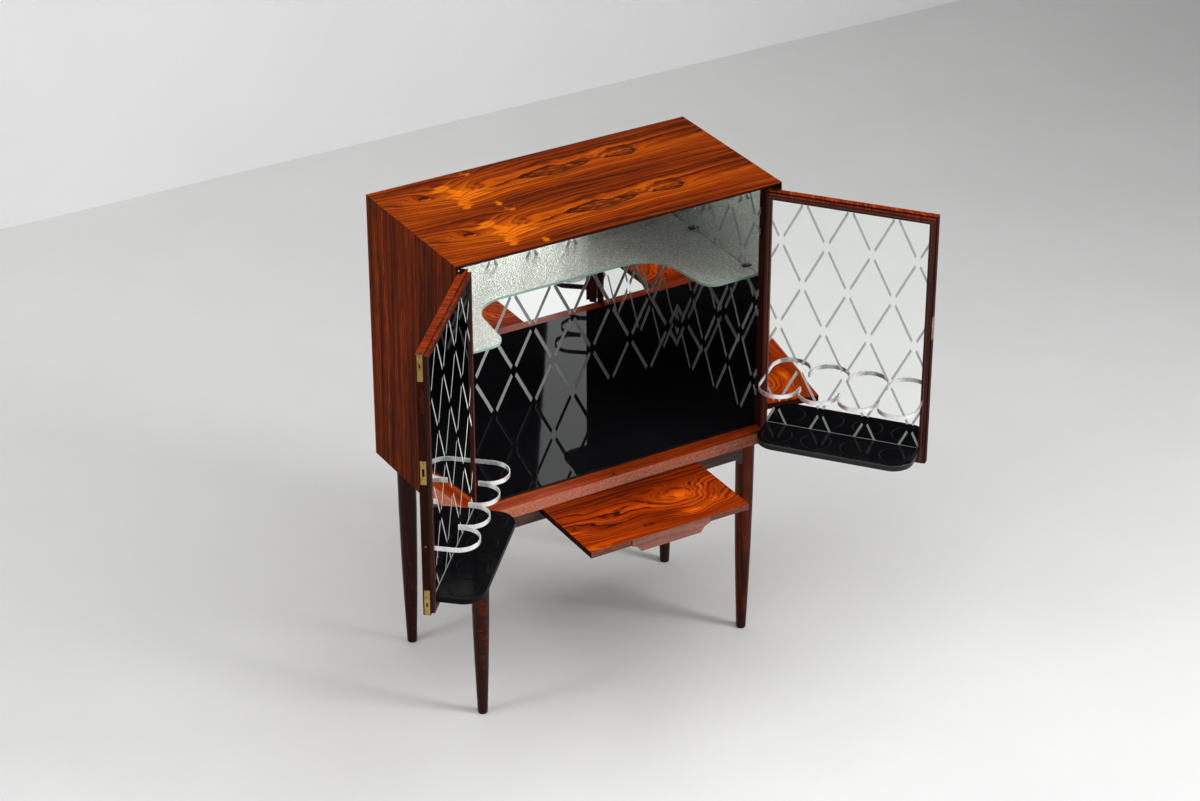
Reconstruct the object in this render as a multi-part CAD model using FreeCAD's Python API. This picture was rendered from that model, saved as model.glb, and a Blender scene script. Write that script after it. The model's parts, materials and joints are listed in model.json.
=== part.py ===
"""Bar cabinet on legs: two mirrored doors with bottle trays, a glass shelf and a pull-out serving board.

Millimetres, +Z up, front towards -Y. The doors stand open and the board is drawn out, as in use.
The origin is on the floor, in the middle of the space that the open cabinet takes from front to back.
Every piece is made in place with the doors shut, and each door is then swung open about its pivots.
"""
import FreeCAD, Part
import math
import os

V = FreeCAD.Vector

# Case
CASE_WIDTH = 820.0
CASE_DEPTH = 414.0
CASE_HEIGHT = 653.0
CASE_LIFT = 514.0
PANEL_THICK = 16.0
NOSE_THICK = 3.0
BEVEL_DEPTH = 18.0
BACK_INSET = 2.0
BACK_THICK = 11.0

# Lining of the case
MIRROR_THICK = 4.0
FLOOR_PANEL_THICK = 6.0
LINING_SETBACK = 56.0

# Glass shelf
SHELF_TOP_ABOVE_CASE = 406.0
SHELF_THICK = 6.0
SHELF_END_GAP = 1.0
SHELF_SETBACK = 60.0
RECESS_DEPTH = 195.0
RECESS_FRONT_WIDTH = 518.0
RECESS_BACK_WIDTH = 480.0
RECESS_INNER_RADIUS = 85.0
RECESS_OUTER_RADIUS = 38.0
CLIP_WIDTH = 12.0
CLIP_REACH = 10.0
CLIP_JAW = 4.0
CLIP_FROM_FRONT = 105.0
CLIP_FROM_BACK = 65.0

# Doors
DOOR_GAP = 1.0
MEETING_GAP = 1.0
SLAB_THICK = 16.0
RIM_INSET = 4.0
RIM_WIDTH = 12.0
RIM_DEPTH = 8.5
GLASS_PLAY = 0.2
LEFT_OPEN = 132.0
RIGHT_OPEN = 129.0

# Pivot hinges
PIVOT_FROM_EDGE = 3.0
PIVOT_FROM_FACE = 0.0
PIN_DIAMETER = 3.0
PIN_PLAY = 0.06
KNUCKLE_RADIUS = 3.0
LEAF_THICK = 2.0
LEAF_LENGTH = 26.0
LEAF_WIDTH = 9.0
LEAF_FACE_MARGIN = 1.0
LEAF_FACE_PLAY = 0.1

# Bottle trays and bands on the doors
TRAY_ABOVE_DOOR = 26.0
TRAY_THICK = 14.0
TRAY_MARGIN = 13.0
TRAY_DEPTH = 98.0
TRAY_CORNER = 48.0
TRAY_EDGE = 1.5
RING_DIAMETER = 71.0
RING_WIDTH = 3.0
RING_DEPTH = 1.2
RING_REACH = 47.0
PLACES = 4
BAND_ABOVE_DOOR = 155.0
BAND_HEIGHT = 10.0
BAND_THICK = 2.0
BAND_MARGIN = 12.0
BAND_STRAIGHT = 42.0
BAND_CUSP = 32.0
BAND_FOLD_RADIUS = 2.0
BAND_SOCKET = 4.0
BAND_SOCKET_PLAY = 0.2

# Flush bolts of the left door
BOLT_PLATE_LENGTH = 61.0
BOLT_PLATE_WIDTH = 12.0
PLATE_THICK = 1.5
PLATE_FROM_FACE = 3.0
BOLT_RETURN = 13.0
BOLT_DIAMETER = 6.0
BOLT_FROM_EDGE = 7.0
BOLT_LENGTH = 46.0
BOLT_SINK = 0.5
BOLT_TRAVEL = 10.0
BOLT_PLAY = 0.1
THUMB_WIDTH = 4.0
THUMB_HEIGHT = 8.0
THUMB_FROM_END = 30.0
THUMB_SINK = 0.3
KEEPER_LENGTH = 12.0
KEEPER_DEPTH = 1.5
KEEPER_HOLE_SPARE = 0.6

# Lock of the right door and its strike plate in the left door
LOCK_CENTRE_ABOVE_DOOR = 345.0
LOCK_PLATE_LENGTH = 56.0
LOCK_PLATE_WIDTH = 13.0
LOCK_CASE_HEIGHT = 46.0
LOCK_CASE_DEPTH = 30.0
LOCK_CASE_THICK = 10.0
LOCK_BOLT_HEIGHT = 18.0
LOCK_BOLT_THICK = 5.0
LOCK_BOLT_LENGTH = 20.0
LOCK_BOLT_SINK = 0.3
LOCK_BOLT_TRAVEL = 8.0
LOCK_BOLT_PLAY = 0.15
KEYHOLE_FROM_EDGE = 24.0
KEYHOLE_DIAMETER = 4.0
KEYHOLE_SLOT_WIDTH = 2.0
KEYHOLE_SLOT_LENGTH = 6.0
ESCUTCHEON_DIAMETER = 12.0
ESCUTCHEON_THICK = 1.5
BUTTON_ABOVE_DOOR = 168.0
BUTTON_DIAMETER = 5.0
BUTTON_DEPTH = 8.0

# Base
LEG_FROM_SIDE = 59.0
LEG_FROM_FRONT = 34.0
LEG_TOP_DIAMETER = 44.0
FOOT_DIAMETER = 23.0
FOOT_ROUND = 3.0
LEG_SWELL_SHARES = ((0.0, 0.0), (0.24, 0.41), (0.46, 0.7), (0.7, 0.9), (1.0, 1.0))
RAIL_HEIGHT = 40.0
RAIL_THICK = 20.0
RAIL_FACE_FROM_LEG = 15.0
RAIL_BRACKET_RADIUS = 14.0

# Serving board
BOARD_WIDTH = 408.0
BOARD_DEPTH = 340.0
BOARD_THICK = 15.0
BOARD_BELOW_CASE = 5.0
BOARD_OUT = 208.0
BOARD_PLAY = 0.3
BOARD_SIDE_PLAY = 0.8
RUNNER_WIDTH = 20.0
RUNNER_LEDGE = 8.0
RUNNER_LEDGE_THICK = 8.0
PULL_TOP_WIDTH = 202.0
PULL_WAIST_WIDTH = 172.0
PULL_BOTTOM_WIDTH = 154.0
PULL_DROP = 19.0
PULL_WAIST_DROP = 6.0
PULL_THICK = 15.0
PULL_PROUD = 3.0
PULL_WAIST_RADIUS = 10.0
PULL_CORNER_RADIUS = 4.0
STOP_HEIGHT = 12.0
STOP_WIDTH = 20.0
STOP_LENGTH = 120.0
STOP_GAP = 0.5

OVERRUN = 1.0

# Places worked out from the sizes, in the case's own frame: x and y from its middle, z from the floor
HALF_WIDTH = CASE_WIDTH / 2
HALF_DEPTH = CASE_DEPTH / 2
CASE_TOP = CASE_LIFT + CASE_HEIGHT
INNER_X = HALF_WIDTH - PANEL_THICK
INNER_BOTTOM = CASE_LIFT + PANEL_THICK
INNER_TOP = CASE_TOP - PANEL_THICK
BACK_FACE = HALF_DEPTH - BACK_INSET - BACK_THICK
BACK_MIRROR_FACE = BACK_FACE - MIRROR_THICK
SIDE_MIRROR_X = INNER_X - MIRROR_THICK
LINING_FRONT = -HALF_DEPTH + LINING_SETBACK
FLOOR_TOP = INNER_BOTTOM + FLOOR_PANEL_THICK
SHELF_TOP = CASE_LIFT + SHELF_TOP_ABOVE_CASE
SHELF_UNDER = SHELF_TOP - SHELF_THICK

DOOR_HINGE_X = -INNER_X + DOOR_GAP
DOOR_FREE_X = -MEETING_GAP / 2
DOOR_BOTTOM = INNER_BOTTOM + DOOR_GAP
DOOR_TOP = INNER_TOP - DOOR_GAP
DOOR_OUTER_Y = -HALF_DEPTH + BEVEL_DEPTH
SLAB_BACK_Y = DOOR_OUTER_Y + SLAB_THICK
RIM_FACE_Y = SLAB_BACK_Y + RIM_DEPTH
GLASS_FACE_Y = SLAB_BACK_Y + MIRROR_THICK
PIVOT_X = DOOR_HINGE_X + PIVOT_FROM_EDGE
PIVOT_Y = DOOR_OUTER_Y + PIVOT_FROM_FACE
RIM_TOTAL = RIM_INSET + RIM_WIDTH
TRAY_BOTTOM = DOOR_BOTTOM + TRAY_ABOVE_DOOR
TRAY_TOP = TRAY_BOTTOM + TRAY_THICK
BAND_BOTTOM = DOOR_BOTTOM + BAND_ABOVE_DOOR
BAND_PITCH = (DOOR_FREE_X - DOOR_HINGE_X - 2 * BAND_MARGIN) / PLACES
BAND_RADIUS = BAND_PITCH / 2 - BAND_FOLD_RADIUS
BOLT_X = DOOR_FREE_X - BOLT_FROM_EDGE
BOLT_Y = DOOR_OUTER_Y + PLATE_FROM_FACE + BOLT_PLATE_WIDTH / 2
LOCK_Z = DOOR_BOTTOM + LOCK_CENTRE_ABOVE_DOOR

LEG_X = HALF_WIDTH - LEG_FROM_SIDE
LEG_Y = HALF_DEPTH - LEG_FROM_FRONT
RAIL_BOTTOM = CASE_LIFT - RAIL_HEIGHT
RAIL_OUTER_Y = LEG_Y + RAIL_FACE_FROM_LEG
RAIL_OUTER_X = LEG_X + RAIL_FACE_FROM_LEG
BOARD_TOP = CASE_LIFT - BOARD_BELOW_CASE
BOARD_UNDER = BOARD_TOP - BOARD_THICK
BOARD_FRONT = -HALF_DEPTH - BOARD_OUT
PULL_BACK = BOARD_FRONT + PULL_THICK
BOARD_TRAVEL = -RAIL_OUTER_Y - DOOR_GAP - PULL_BACK


def block(x0, x1, y0, y1, z0, z1):
    """A box between two corners, whichever way round they are given."""
    low = V(min(x0, x1), min(y0, y1), min(z0, z1))
    return Part.makeBox(abs(x1 - x0), abs(y1 - y0), abs(z1 - z0), low)


def prism(points, along):
    """A closed polygon pushed along a vector."""
    return Part.Face(Part.makePolygon(points + points[:1])).extrude(along)


def rod(x, y, z, diameter, height):
    """An upright cylinder on the point given."""
    return Part.makeCylinder(diameter / 2, height, V(x, y, z))


def rounded_wire(corners, place):
    """A closed wire through corners (a, b, radius), each turned by a tangent arc; place gives the point."""
    count = len(corners)
    starts, middles, ends = [], [], []
    for index in range(count):
        a, b, radius = corners[index]
        here = V(a, b, 0)
        before = V(corners[index - 1][0], corners[index - 1][1], 0) - here
        after = V(corners[(index + 1) % count][0], corners[(index + 1) % count][1], 0) - here
        before.normalize()
        after.normalize()
        half = before.getAngle(after) / 2
        back_off = radius / math.tan(half)
        middle = here
        if radius > 0:
            inward = before + after
            inward.normalize()
            middle = here + inward * (radius / math.sin(half) - radius)
        starts.append(here + before * back_off)
        middles.append(middle)
        ends.append(here + after * back_off)
    edges = []
    for index in range(count):
        start, middle, end = [place(p.x, p.y) for p in (starts[index], middles[index], ends[index])]
        if corners[index][2] > 0:
            edges.append(Part.Arc(start, middle, end).toShape())
        following = place(starts[(index + 1) % count].x, starts[(index + 1) % count].y)
        if (following - end).Length > Part.Vertex(end).Tolerance:
            edges.append(Part.makeLine(end, following))
    return Part.Wire(Part.__sortEdges__(edges))


def plate(corners, place, along):
    """A flat piece with rounded corners, pushed along a vector."""
    return Part.Face(rounded_wire(corners, place)).extrude(along)


def mirrored(shape):
    """The same piece on the other side of the cabinet."""
    return shape.mirror(V(0, 0, 0), V(1, 0, 0))


def panel(place, mitre, along):
    """One case panel: its section with the bevelled front edge, cut to the mitres at both ends."""
    section = [(-HALF_DEPTH, 0), (HALF_DEPTH, 0), (HALF_DEPTH, PANEL_THICK),
               (-HALF_DEPTH + BEVEL_DEPTH, PANEL_THICK), (-HALF_DEPTH, NOSE_THICK)]
    body = prism([place(y, depth) for y, depth in section], along)
    wedge = prism([V(x, -HALF_DEPTH, z) for x, z in mitre], V(0, CASE_DEPTH, 0))
    return body.common(wedge)


def case_top():
    mitre = [(-HALF_WIDTH, CASE_TOP), (HALF_WIDTH, CASE_TOP), (INNER_X, INNER_TOP), (-INNER_X, INNER_TOP)]
    body = panel(lambda y, depth: V(-HALF_WIDTH, y, CASE_TOP - depth), mitre, V(CASE_WIDTH, 0, 0))
    for cutter in case_leaf_pockets(True) + [keeper_pocket(True)]:
        body = body.cut(cutter)
    return body


def case_bottom():
    mitre = [(-HALF_WIDTH, CASE_LIFT), (HALF_WIDTH, CASE_LIFT), (INNER_X, INNER_BOTTOM), (-INNER_X, INNER_BOTTOM)]
    body = panel(lambda y, depth: V(-HALF_WIDTH, y, CASE_LIFT + depth), mitre, V(CASE_WIDTH, 0, 0))
    for cutter in case_leaf_pockets(False) + [keeper_pocket(False)]:
        body = body.cut(cutter)
    return body


def case_left_side():
    mitre = [(-HALF_WIDTH, CASE_LIFT), (-INNER_X, INNER_BOTTOM), (-INNER_X, INNER_TOP), (-HALF_WIDTH, CASE_TOP)]
    return panel(lambda y, depth: V(-HALF_WIDTH + depth, y, CASE_LIFT), mitre, V(0, 0, CASE_HEIGHT))


def case_back():
    return block(-INNER_X, INNER_X, BACK_FACE, BACK_FACE + BACK_THICK, INNER_BOTTOM, INNER_TOP)


def back_mirror():
    return block(-INNER_X, INNER_X, BACK_MIRROR_FACE, BACK_FACE, INNER_BOTTOM, INNER_TOP)


def floor_panel():
    return block(-INNER_X, INNER_X, LINING_FRONT, BACK_MIRROR_FACE, INNER_BOTTOM, FLOOR_TOP)


def left_side_mirror():
    return block(-INNER_X, -SIDE_MIRROR_X, LINING_FRONT, BACK_MIRROR_FACE, FLOOR_TOP, INNER_TOP)


def glass_shelf():
    """Full width at both ends, with a deep rounded recess in the middle of the front."""
    end = SIDE_MIRROR_X - SHELF_END_GAP
    front = -HALF_DEPTH + SHELF_SETBACK
    recess = front + RECESS_DEPTH
    outer, inner = RECESS_FRONT_WIDTH / 2, RECESS_BACK_WIDTH / 2
    corners = [(-end, BACK_MIRROR_FACE, 0), (-end, front, 0), (-outer, front, RECESS_OUTER_RADIUS),
               (-inner, recess, RECESS_INNER_RADIUS), (inner, recess, RECESS_INNER_RADIUS),
               (outer, front, RECESS_OUTER_RADIUS), (end, front, 0), (end, BACK_MIRROR_FACE, 0)]
    return plate(corners, lambda a, b: V(a, b, SHELF_UNDER), V(0, 0, SHELF_THICK))


def clip_places():
    return [-HALF_DEPTH + CLIP_FROM_FRONT, BACK_MIRROR_FACE - CLIP_FROM_BACK]


def shelf_clips():
    """Four clips on the side mirrors, each a jaw round the end of the glass."""
    clips = []
    for y in clip_places():
        jaw = block(-SIDE_MIRROR_X, -SIDE_MIRROR_X + CLIP_REACH, y - CLIP_WIDTH / 2, y + CLIP_WIDTH / 2,
                    SHELF_UNDER - CLIP_JAW, SHELF_TOP + CLIP_JAW)
        slot = block(-SIDE_MIRROR_X + SHELF_END_GAP, -SIDE_MIRROR_X + CLIP_REACH + OVERRUN,
                     y - CLIP_WIDTH, y + CLIP_WIDTH, SHELF_UNDER, SHELF_TOP)
        clips.append(jaw.cut(slot))
    return Part.makeCompound(clips + [mirrored(clip) for clip in clips])


def leaf_shape(z, height):
    """A hinge leaf seen from above: a strip with a round knuckle about the pivot."""
    strip = block(PIVOT_X, PIVOT_X + LEAF_LENGTH, DOOR_OUTER_Y + LEAF_FACE_MARGIN,
                  DOOR_OUTER_Y + LEAF_FACE_MARGIN + LEAF_WIDTH, z, z + height)
    return strip.fuse(rod(PIVOT_X, PIVOT_Y, z, 2 * KNUCKLE_RADIUS, height))


def case_leaf_pockets(top):
    """Room for the hinge leaves that are let into the case's top or bottom."""
    z = INNER_TOP if top else INNER_BOTTOM - LEAF_THICK
    pocket = leaf_shape(z, LEAF_THICK)
    return [pocket, mirrored(pocket)]


def case_leaf(top):
    """The leaf let into the case, with its pin and the round seat that the door's leaf bears on."""
    z = INNER_TOP if top else INNER_BOTTOM - LEAF_THICK
    pin_z = DOOR_TOP - LEAF_THICK if top else INNER_BOTTOM
    seat_z = DOOR_TOP + LEAF_FACE_PLAY if top else INNER_BOTTOM
    pin = rod(PIVOT_X, PIVOT_Y, pin_z, PIN_DIAMETER, LEAF_THICK + DOOR_GAP)
    seat = rod(PIVOT_X, PIVOT_Y, seat_z, 2 * KNUCKLE_RADIUS, DOOR_GAP - LEAF_FACE_PLAY)
    return leaf_shape(z, LEAF_THICK).fuse(pin).fuse(seat)


def left_case_hinge_leaves():
    return Part.makeCompound([case_leaf(True), case_leaf(False)])


def door_leaf_blanks():
    return [leaf_shape(DOOR_TOP - LEAF_THICK, LEAF_THICK), leaf_shape(DOOR_BOTTOM, LEAF_THICK)]


def door_hinge_leaves():
    leaves = []
    for blank in door_leaf_blanks():
        low = blank.BoundBox.ZMin - OVERRUN
        bore = rod(PIVOT_X, PIVOT_Y, low, PIN_DIAMETER + 2 * PIN_PLAY, LEAF_THICK + 2 * OVERRUN)
        leaves.append(blank.cut(bore))
    return Part.makeCompound(leaves)


def keeper_blank(top):
    z = INNER_TOP if top else INNER_BOTTOM - KEEPER_DEPTH
    return block(BOLT_X - KEEPER_LENGTH / 2, BOLT_X + KEEPER_LENGTH / 2, BOLT_Y - BOLT_PLATE_WIDTH / 2,
                 BOLT_Y + BOLT_PLATE_WIDTH / 2, z, z + KEEPER_DEPTH)


def keeper_hole(top):
    """The hole that a thrown flush bolt enters."""
    depth = BOLT_TRAVEL - BOLT_SINK - DOOR_GAP + KEEPER_HOLE_SPARE
    z = INNER_TOP if top else INNER_BOTTOM - depth
    return rod(BOLT_X, BOLT_Y, z, BOLT_DIAMETER + 2 * KEEPER_HOLE_SPARE, depth)


def keeper_pocket(top):
    return keeper_blank(top).fuse(keeper_hole(top))


def bolt_keepers():
    return Part.makeCompound([keeper_blank(top).cut(keeper_hole(top)) for top in (True, False)])


def door_slab():
    body = block(DOOR_HINGE_X, DOOR_FREE_X, DOOR_OUTER_Y, SLAB_BACK_Y, DOOR_BOTTOM, DOOR_TOP)
    for blank in door_leaf_blanks():
        body = body.cut(blank)
    return body


def inset_block(inset, y0, y1):
    """A slice of the door whose edges stand in from the slab's by one size all round."""
    return block(DOOR_HINGE_X + inset, DOOR_FREE_X - inset, y0, y1, DOOR_BOTTOM + inset, DOOR_TOP - inset)


def door_rim():
    """The frame planted on the inside of the slab, which holds the mirror and the ends of the band."""
    body = inset_block(RIM_INSET, SLAB_BACK_Y, RIM_FACE_Y)
    body = body.cut(inset_block(RIM_TOTAL, SLAB_BACK_Y - OVERRUN, RIM_FACE_Y + OVERRUN))
    half = BAND_THICK / 2 + BAND_SOCKET_PLAY
    for x in (DOOR_HINGE_X + BAND_MARGIN, DOOR_FREE_X - BAND_MARGIN):
        socket = block(x - half, x + half, RIM_FACE_Y - BAND_SOCKET, RIM_FACE_Y + OVERRUN,
                       BAND_BOTTOM - BAND_SOCKET_PLAY, BAND_BOTTOM + BAND_HEIGHT + BAND_SOCKET_PLAY)
        body = body.cut(socket)
    return body


def door_mirror():
    return inset_block(RIM_TOTAL + GLASS_PLAY, SLAB_BACK_Y, GLASS_FACE_Y)


def place_centres():
    """How far along the door, in x, each bottle place is centred."""
    first = DOOR_HINGE_X + BAND_MARGIN + BAND_PITCH / 2
    return [first + index * BAND_PITCH for index in range(PLACES)]


def door_tray():
    """A shelf for four bottles, square against the door and rounded in front, with a ring for each bottle."""
    x0, x1 = DOOR_HINGE_X + TRAY_MARGIN, DOOR_FREE_X - TRAY_MARGIN
    front = RIM_FACE_Y + TRAY_DEPTH
    corners = [(x0, RIM_FACE_Y, 0), (x1, RIM_FACE_Y, 0), (x1, front, TRAY_CORNER), (x0, front, TRAY_CORNER)]
    body = plate(corners, lambda a, b: V(a, b, TRAY_BOTTOM), V(0, 0, TRAY_THICK))
    rims = [edge for edge in body.Edges
            if edge.BoundBox.ZLength < TRAY_EDGE and edge.CenterOfMass.y > RIM_FACE_Y + TRAY_EDGE]
    body = body.makeChamfer(TRAY_EDGE, rims)
    tongue = block(DOOR_HINGE_X + RIM_TOTAL + GLASS_PLAY, DOOR_FREE_X - RIM_TOTAL - GLASS_PLAY,
                   GLASS_FACE_Y, RIM_FACE_Y, TRAY_BOTTOM, TRAY_TOP)
    body = body.fuse(tongue).removeSplitter()
    for x in place_centres():
        outer = rod(x, RIM_FACE_Y + RING_REACH, TRAY_TOP - RING_DEPTH, RING_DIAMETER, RING_DEPTH + OVERRUN)
        inner = rod(x, RIM_FACE_Y + RING_REACH, TRAY_TOP - RING_DEPTH, RING_DIAMETER - 2 * RING_WIDTH,
                    RING_DEPTH + OVERRUN)
        body = body.cut(outer.cut(inner))
    return body


def half_ring(x, y, radius, outward):
    """Half a turn of the strip about a point; outward says on which side of the point, in y, it lies."""
    z = BAND_BOTTOM
    ring = rod(x, y, z, 2 * radius + BAND_THICK, BAND_HEIGHT)
    ring = ring.cut(rod(x, y, z, 2 * radius - BAND_THICK, BAND_HEIGHT))
    reach = 2 * radius + BAND_THICK
    return ring.common(block(x - reach, x + reach, y, y + outward * reach, z, z + BAND_HEIGHT))


def door_band():
    """A metal strip bent into four bays, folded back on itself between them, its ends let into the rim."""
    pieces = []
    straight_y = RIM_FACE_Y + BAND_STRAIGHT
    cusp_y = RIM_FACE_Y + BAND_CUSP
    half = BAND_THICK / 2
    for index, x in enumerate(place_centres()):
        radius_left = BAND_PITCH / 2 if index == 0 else BAND_RADIUS
        radius_right = BAND_PITCH / 2 if index == PLACES - 1 else BAND_RADIUS
        bay = (radius_left + radius_right) / 2
        centre = x + (radius_right - radius_left) / 2
        pieces.append(half_ring(centre, straight_y, bay, 1))
        for side, outer_leg in ((-1, index == 0), (1, index == PLACES - 1)):
            leg_x = centre + side * bay
            foot = RIM_FACE_Y - BAND_SOCKET if outer_leg else cusp_y
            pieces.append(block(leg_x - half, leg_x + half, foot, straight_y, BAND_BOTTOM,
                                BAND_BOTTOM + BAND_HEIGHT))
        if index < PLACES - 1:
            pieces.append(half_ring(x + BAND_PITCH / 2, cusp_y, BAND_FOLD_RADIUS, -1))
    return pieces[0].multiFuse(pieces[1:]).removeSplitter()


def edge_plate(x, out, y_centre, width, z_centre, length):
    """A thin plate let into a door's free edge; out is -1 or 1, the way that edge faces."""
    return block(x - out * PLATE_THICK, x, y_centre - width / 2, y_centre + width / 2,
                 z_centre - length / 2, z_centre + length / 2)


def edge_hole(x, out, y, z, diameter, depth):
    """A round hole bored into a free edge."""
    return Part.makeCylinder(diameter / 2, depth + OVERRUN, V(x + out * OVERRUN, y, z), V(-out, 0, 0))


def upright(z, up):
    """Turns a height measured down from the door's top edge into one for the top or the bottom bolt."""
    return DOOR_TOP - z if up else DOOR_BOTTOM + z


def bolt_plate_blank(up):
    low, high = upright(BOLT_PLATE_LENGTH, up), upright(0, up)
    y0, y1 = BOLT_Y - BOLT_PLATE_WIDTH / 2, BOLT_Y + BOLT_PLATE_WIDTH / 2
    face = block(DOOR_FREE_X - PLATE_THICK, DOOR_FREE_X, y0, y1, low, high)
    turned = block(DOOR_FREE_X - BOLT_RETURN, DOOR_FREE_X, y0, y1, high, upright(PLATE_THICK, up))
    return face.fuse(turned).removeSplitter()


def bolt_bore(up):
    """The round way that the bolt runs in, open at the door's end."""
    depth = BOLT_SINK + BOLT_LENGTH + BOLT_SINK
    z = DOOR_TOP - depth if up else DOOR_BOTTOM - OVERRUN
    return rod(BOLT_X, BOLT_Y, z, BOLT_DIAMETER + 2 * BOLT_PLAY, depth + OVERRUN)


def thumb_slot(up):
    """The slot along which the bolt's thumb piece travels."""
    near = upright(BOLT_SINK + THUMB_FROM_END - BOLT_TRAVEL - BOLT_PLAY, up)
    far = upright(BOLT_SINK + THUMB_FROM_END + THUMB_HEIGHT + BOLT_PLAY, up)
    half = THUMB_WIDTH / 2 + BOLT_PLAY
    return block(BOLT_X, DOOR_FREE_X + OVERRUN, BOLT_Y - half, BOLT_Y + half, near, far)


def bolt_plate(up):
    return bolt_plate_blank(up).cut(bolt_bore(up)).cut(thumb_slot(up))


def flush_bolt(up):
    """The sliding bolt, drawn back, with its thumb piece in the plate's slot."""
    z = DOOR_TOP - BOLT_SINK - BOLT_LENGTH if up else DOOR_BOTTOM + BOLT_SINK
    half = THUMB_WIDTH / 2
    thumb = block(BOLT_X, DOOR_FREE_X - THUMB_SINK, BOLT_Y - half, BOLT_Y + half,
                  upright(BOLT_SINK + THUMB_FROM_END, up), upright(BOLT_SINK + THUMB_FROM_END + THUMB_HEIGHT, up))
    return rod(BOLT_X, BOLT_Y, z, BOLT_DIAMETER, BOLT_LENGTH).fuse(thumb)


def lock_y():
    return DOOR_OUTER_Y + PLATE_FROM_FACE + LOCK_PLATE_WIDTH / 2


def lock_bolt_way(x, out, length):
    """The square way of the lock's bolt, from a free edge inwards."""
    half_y = LOCK_BOLT_THICK / 2 + LOCK_BOLT_PLAY
    half_z = LOCK_BOLT_HEIGHT / 2 + LOCK_BOLT_PLAY
    return block(x + out * OVERRUN, x - out * length, lock_y() - half_y, lock_y() + half_y,
                 LOCK_Z - half_z, LOCK_Z + half_z)


def strike_plate():
    body = edge_plate(DOOR_FREE_X, 1, lock_y(), LOCK_PLATE_WIDTH, LOCK_Z, LOCK_PLATE_LENGTH)
    return body.cut(lock_bolt_way(DOOR_FREE_X, 1, PLATE_THICK + OVERRUN))


def lock_plate():
    body = edge_plate(-DOOR_FREE_X, -1, lock_y(), LOCK_PLATE_WIDTH, LOCK_Z, LOCK_PLATE_LENGTH)
    return body.cut(lock_bolt_way(-DOOR_FREE_X, -1, PLATE_THICK + OVERRUN))


def lock_case_blank():
    x = -DOOR_FREE_X + PLATE_THICK
    return block(x, x + LOCK_CASE_DEPTH, lock_y() - LOCK_CASE_THICK / 2, lock_y() + LOCK_CASE_THICK / 2,
                 LOCK_Z - LOCK_CASE_HEIGHT / 2, LOCK_Z + LOCK_CASE_HEIGHT / 2)


def keyhole(y0, y1):
    """A round hole with a slot below it, through from one depth to another."""
    x = -DOOR_FREE_X + KEYHOLE_FROM_EDGE
    half = KEYHOLE_SLOT_WIDTH / 2
    hole = Part.makeCylinder(KEYHOLE_DIAMETER / 2, y1 - y0, V(x, y0, LOCK_Z), V(0, 1, 0))
    return hole.fuse(block(x - half, x + half, y0, y1, LOCK_Z, LOCK_Z - KEYHOLE_SLOT_LENGTH))


def lock_case():
    body = lock_case_blank().cut(lock_bolt_way(-DOOR_FREE_X, -1, LOCK_BOLT_SINK + LOCK_BOLT_LENGTH + LOCK_BOLT_PLAY))
    return body.cut(keyhole(DOOR_OUTER_Y, lock_y()))


def lock_bolt():
    x = -DOOR_FREE_X + LOCK_BOLT_SINK
    return block(x, x + LOCK_BOLT_LENGTH, lock_y() - LOCK_BOLT_THICK / 2, lock_y() + LOCK_BOLT_THICK / 2,
                 LOCK_Z - LOCK_BOLT_HEIGHT / 2, LOCK_Z + LOCK_BOLT_HEIGHT / 2)


def escutcheon_blank():
    x = -DOOR_FREE_X + KEYHOLE_FROM_EDGE
    return Part.makeCylinder(ESCUTCHEON_DIAMETER / 2, ESCUTCHEON_THICK, V(x, DOOR_OUTER_Y, LOCK_Z), V(0, 1, 0))


def keyhole_escutcheon():
    return escutcheon_blank().cut(keyhole(DOOR_OUTER_Y - OVERRUN, DOOR_OUTER_Y + ESCUTCHEON_THICK + OVERRUN))


def meeting_button_hole():
    return edge_hole(DOOR_FREE_X, 1, lock_y(), DOOR_BOTTOM + BUTTON_ABOVE_DOOR, BUTTON_DIAMETER, BUTTON_DEPTH)


def meeting_button():
    z = DOOR_BOTTOM + BUTTON_ABOVE_DOOR
    return Part.makeCylinder(BUTTON_DIAMETER / 2, BUTTON_DEPTH, V(DOOR_FREE_X - BUTTON_DEPTH, lock_y(), z), V(1, 0, 0))


def left_door_slab():
    body = door_slab()
    for up in (True, False):
        for cutter in (bolt_plate_blank(up), bolt_bore(up), thumb_slot(up)):
            body = body.cut(cutter)
    body = body.cut(edge_plate(DOOR_FREE_X, 1, lock_y(), LOCK_PLATE_WIDTH, LOCK_Z, LOCK_PLATE_LENGTH))
    body = body.cut(lock_bolt_way(DOOR_FREE_X, 1, MEETING_GAP + LOCK_BOLT_TRAVEL))
    return body.cut(meeting_button_hole())


def right_door_slab():
    body = mirrored(door_slab())
    body = body.cut(edge_plate(-DOOR_FREE_X, -1, lock_y(), LOCK_PLATE_WIDTH, LOCK_Z, LOCK_PLATE_LENGTH))
    body = body.cut(lock_case_blank()).cut(escutcheon_blank())
    return body.cut(keyhole(DOOR_OUTER_Y, lock_y()))


def leg():
    """The front right leg: a turned taper, fullest under the case, with a rounded foot."""
    swell = (LEG_TOP_DIAMETER - FOOT_DIAMETER) / 2
    side = [V(FOOT_DIAMETER / 2 + radius * swell, 0, FOOT_ROUND + height * (CASE_LIFT - FOOT_ROUND))
            for height, radius in LEG_SWELL_SHARES]
    inner = FOOT_DIAMETER / 2 - FOOT_ROUND
    turn = FOOT_ROUND * math.sqrt(0.5)
    outline = [V(0, 0, 0), V(inner, 0, 0), V(inner + turn, 0, FOOT_ROUND - turn)] + side + [V(0, 0, CASE_LIFT)]
    body = Part.Face(Part.makePolygon(outline + outline[:1])).revolve(V(0, 0, 0), V(0, 0, 1), 360)
    body.translate(V(LEG_X, -LEG_Y, 0))
    return body


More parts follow.
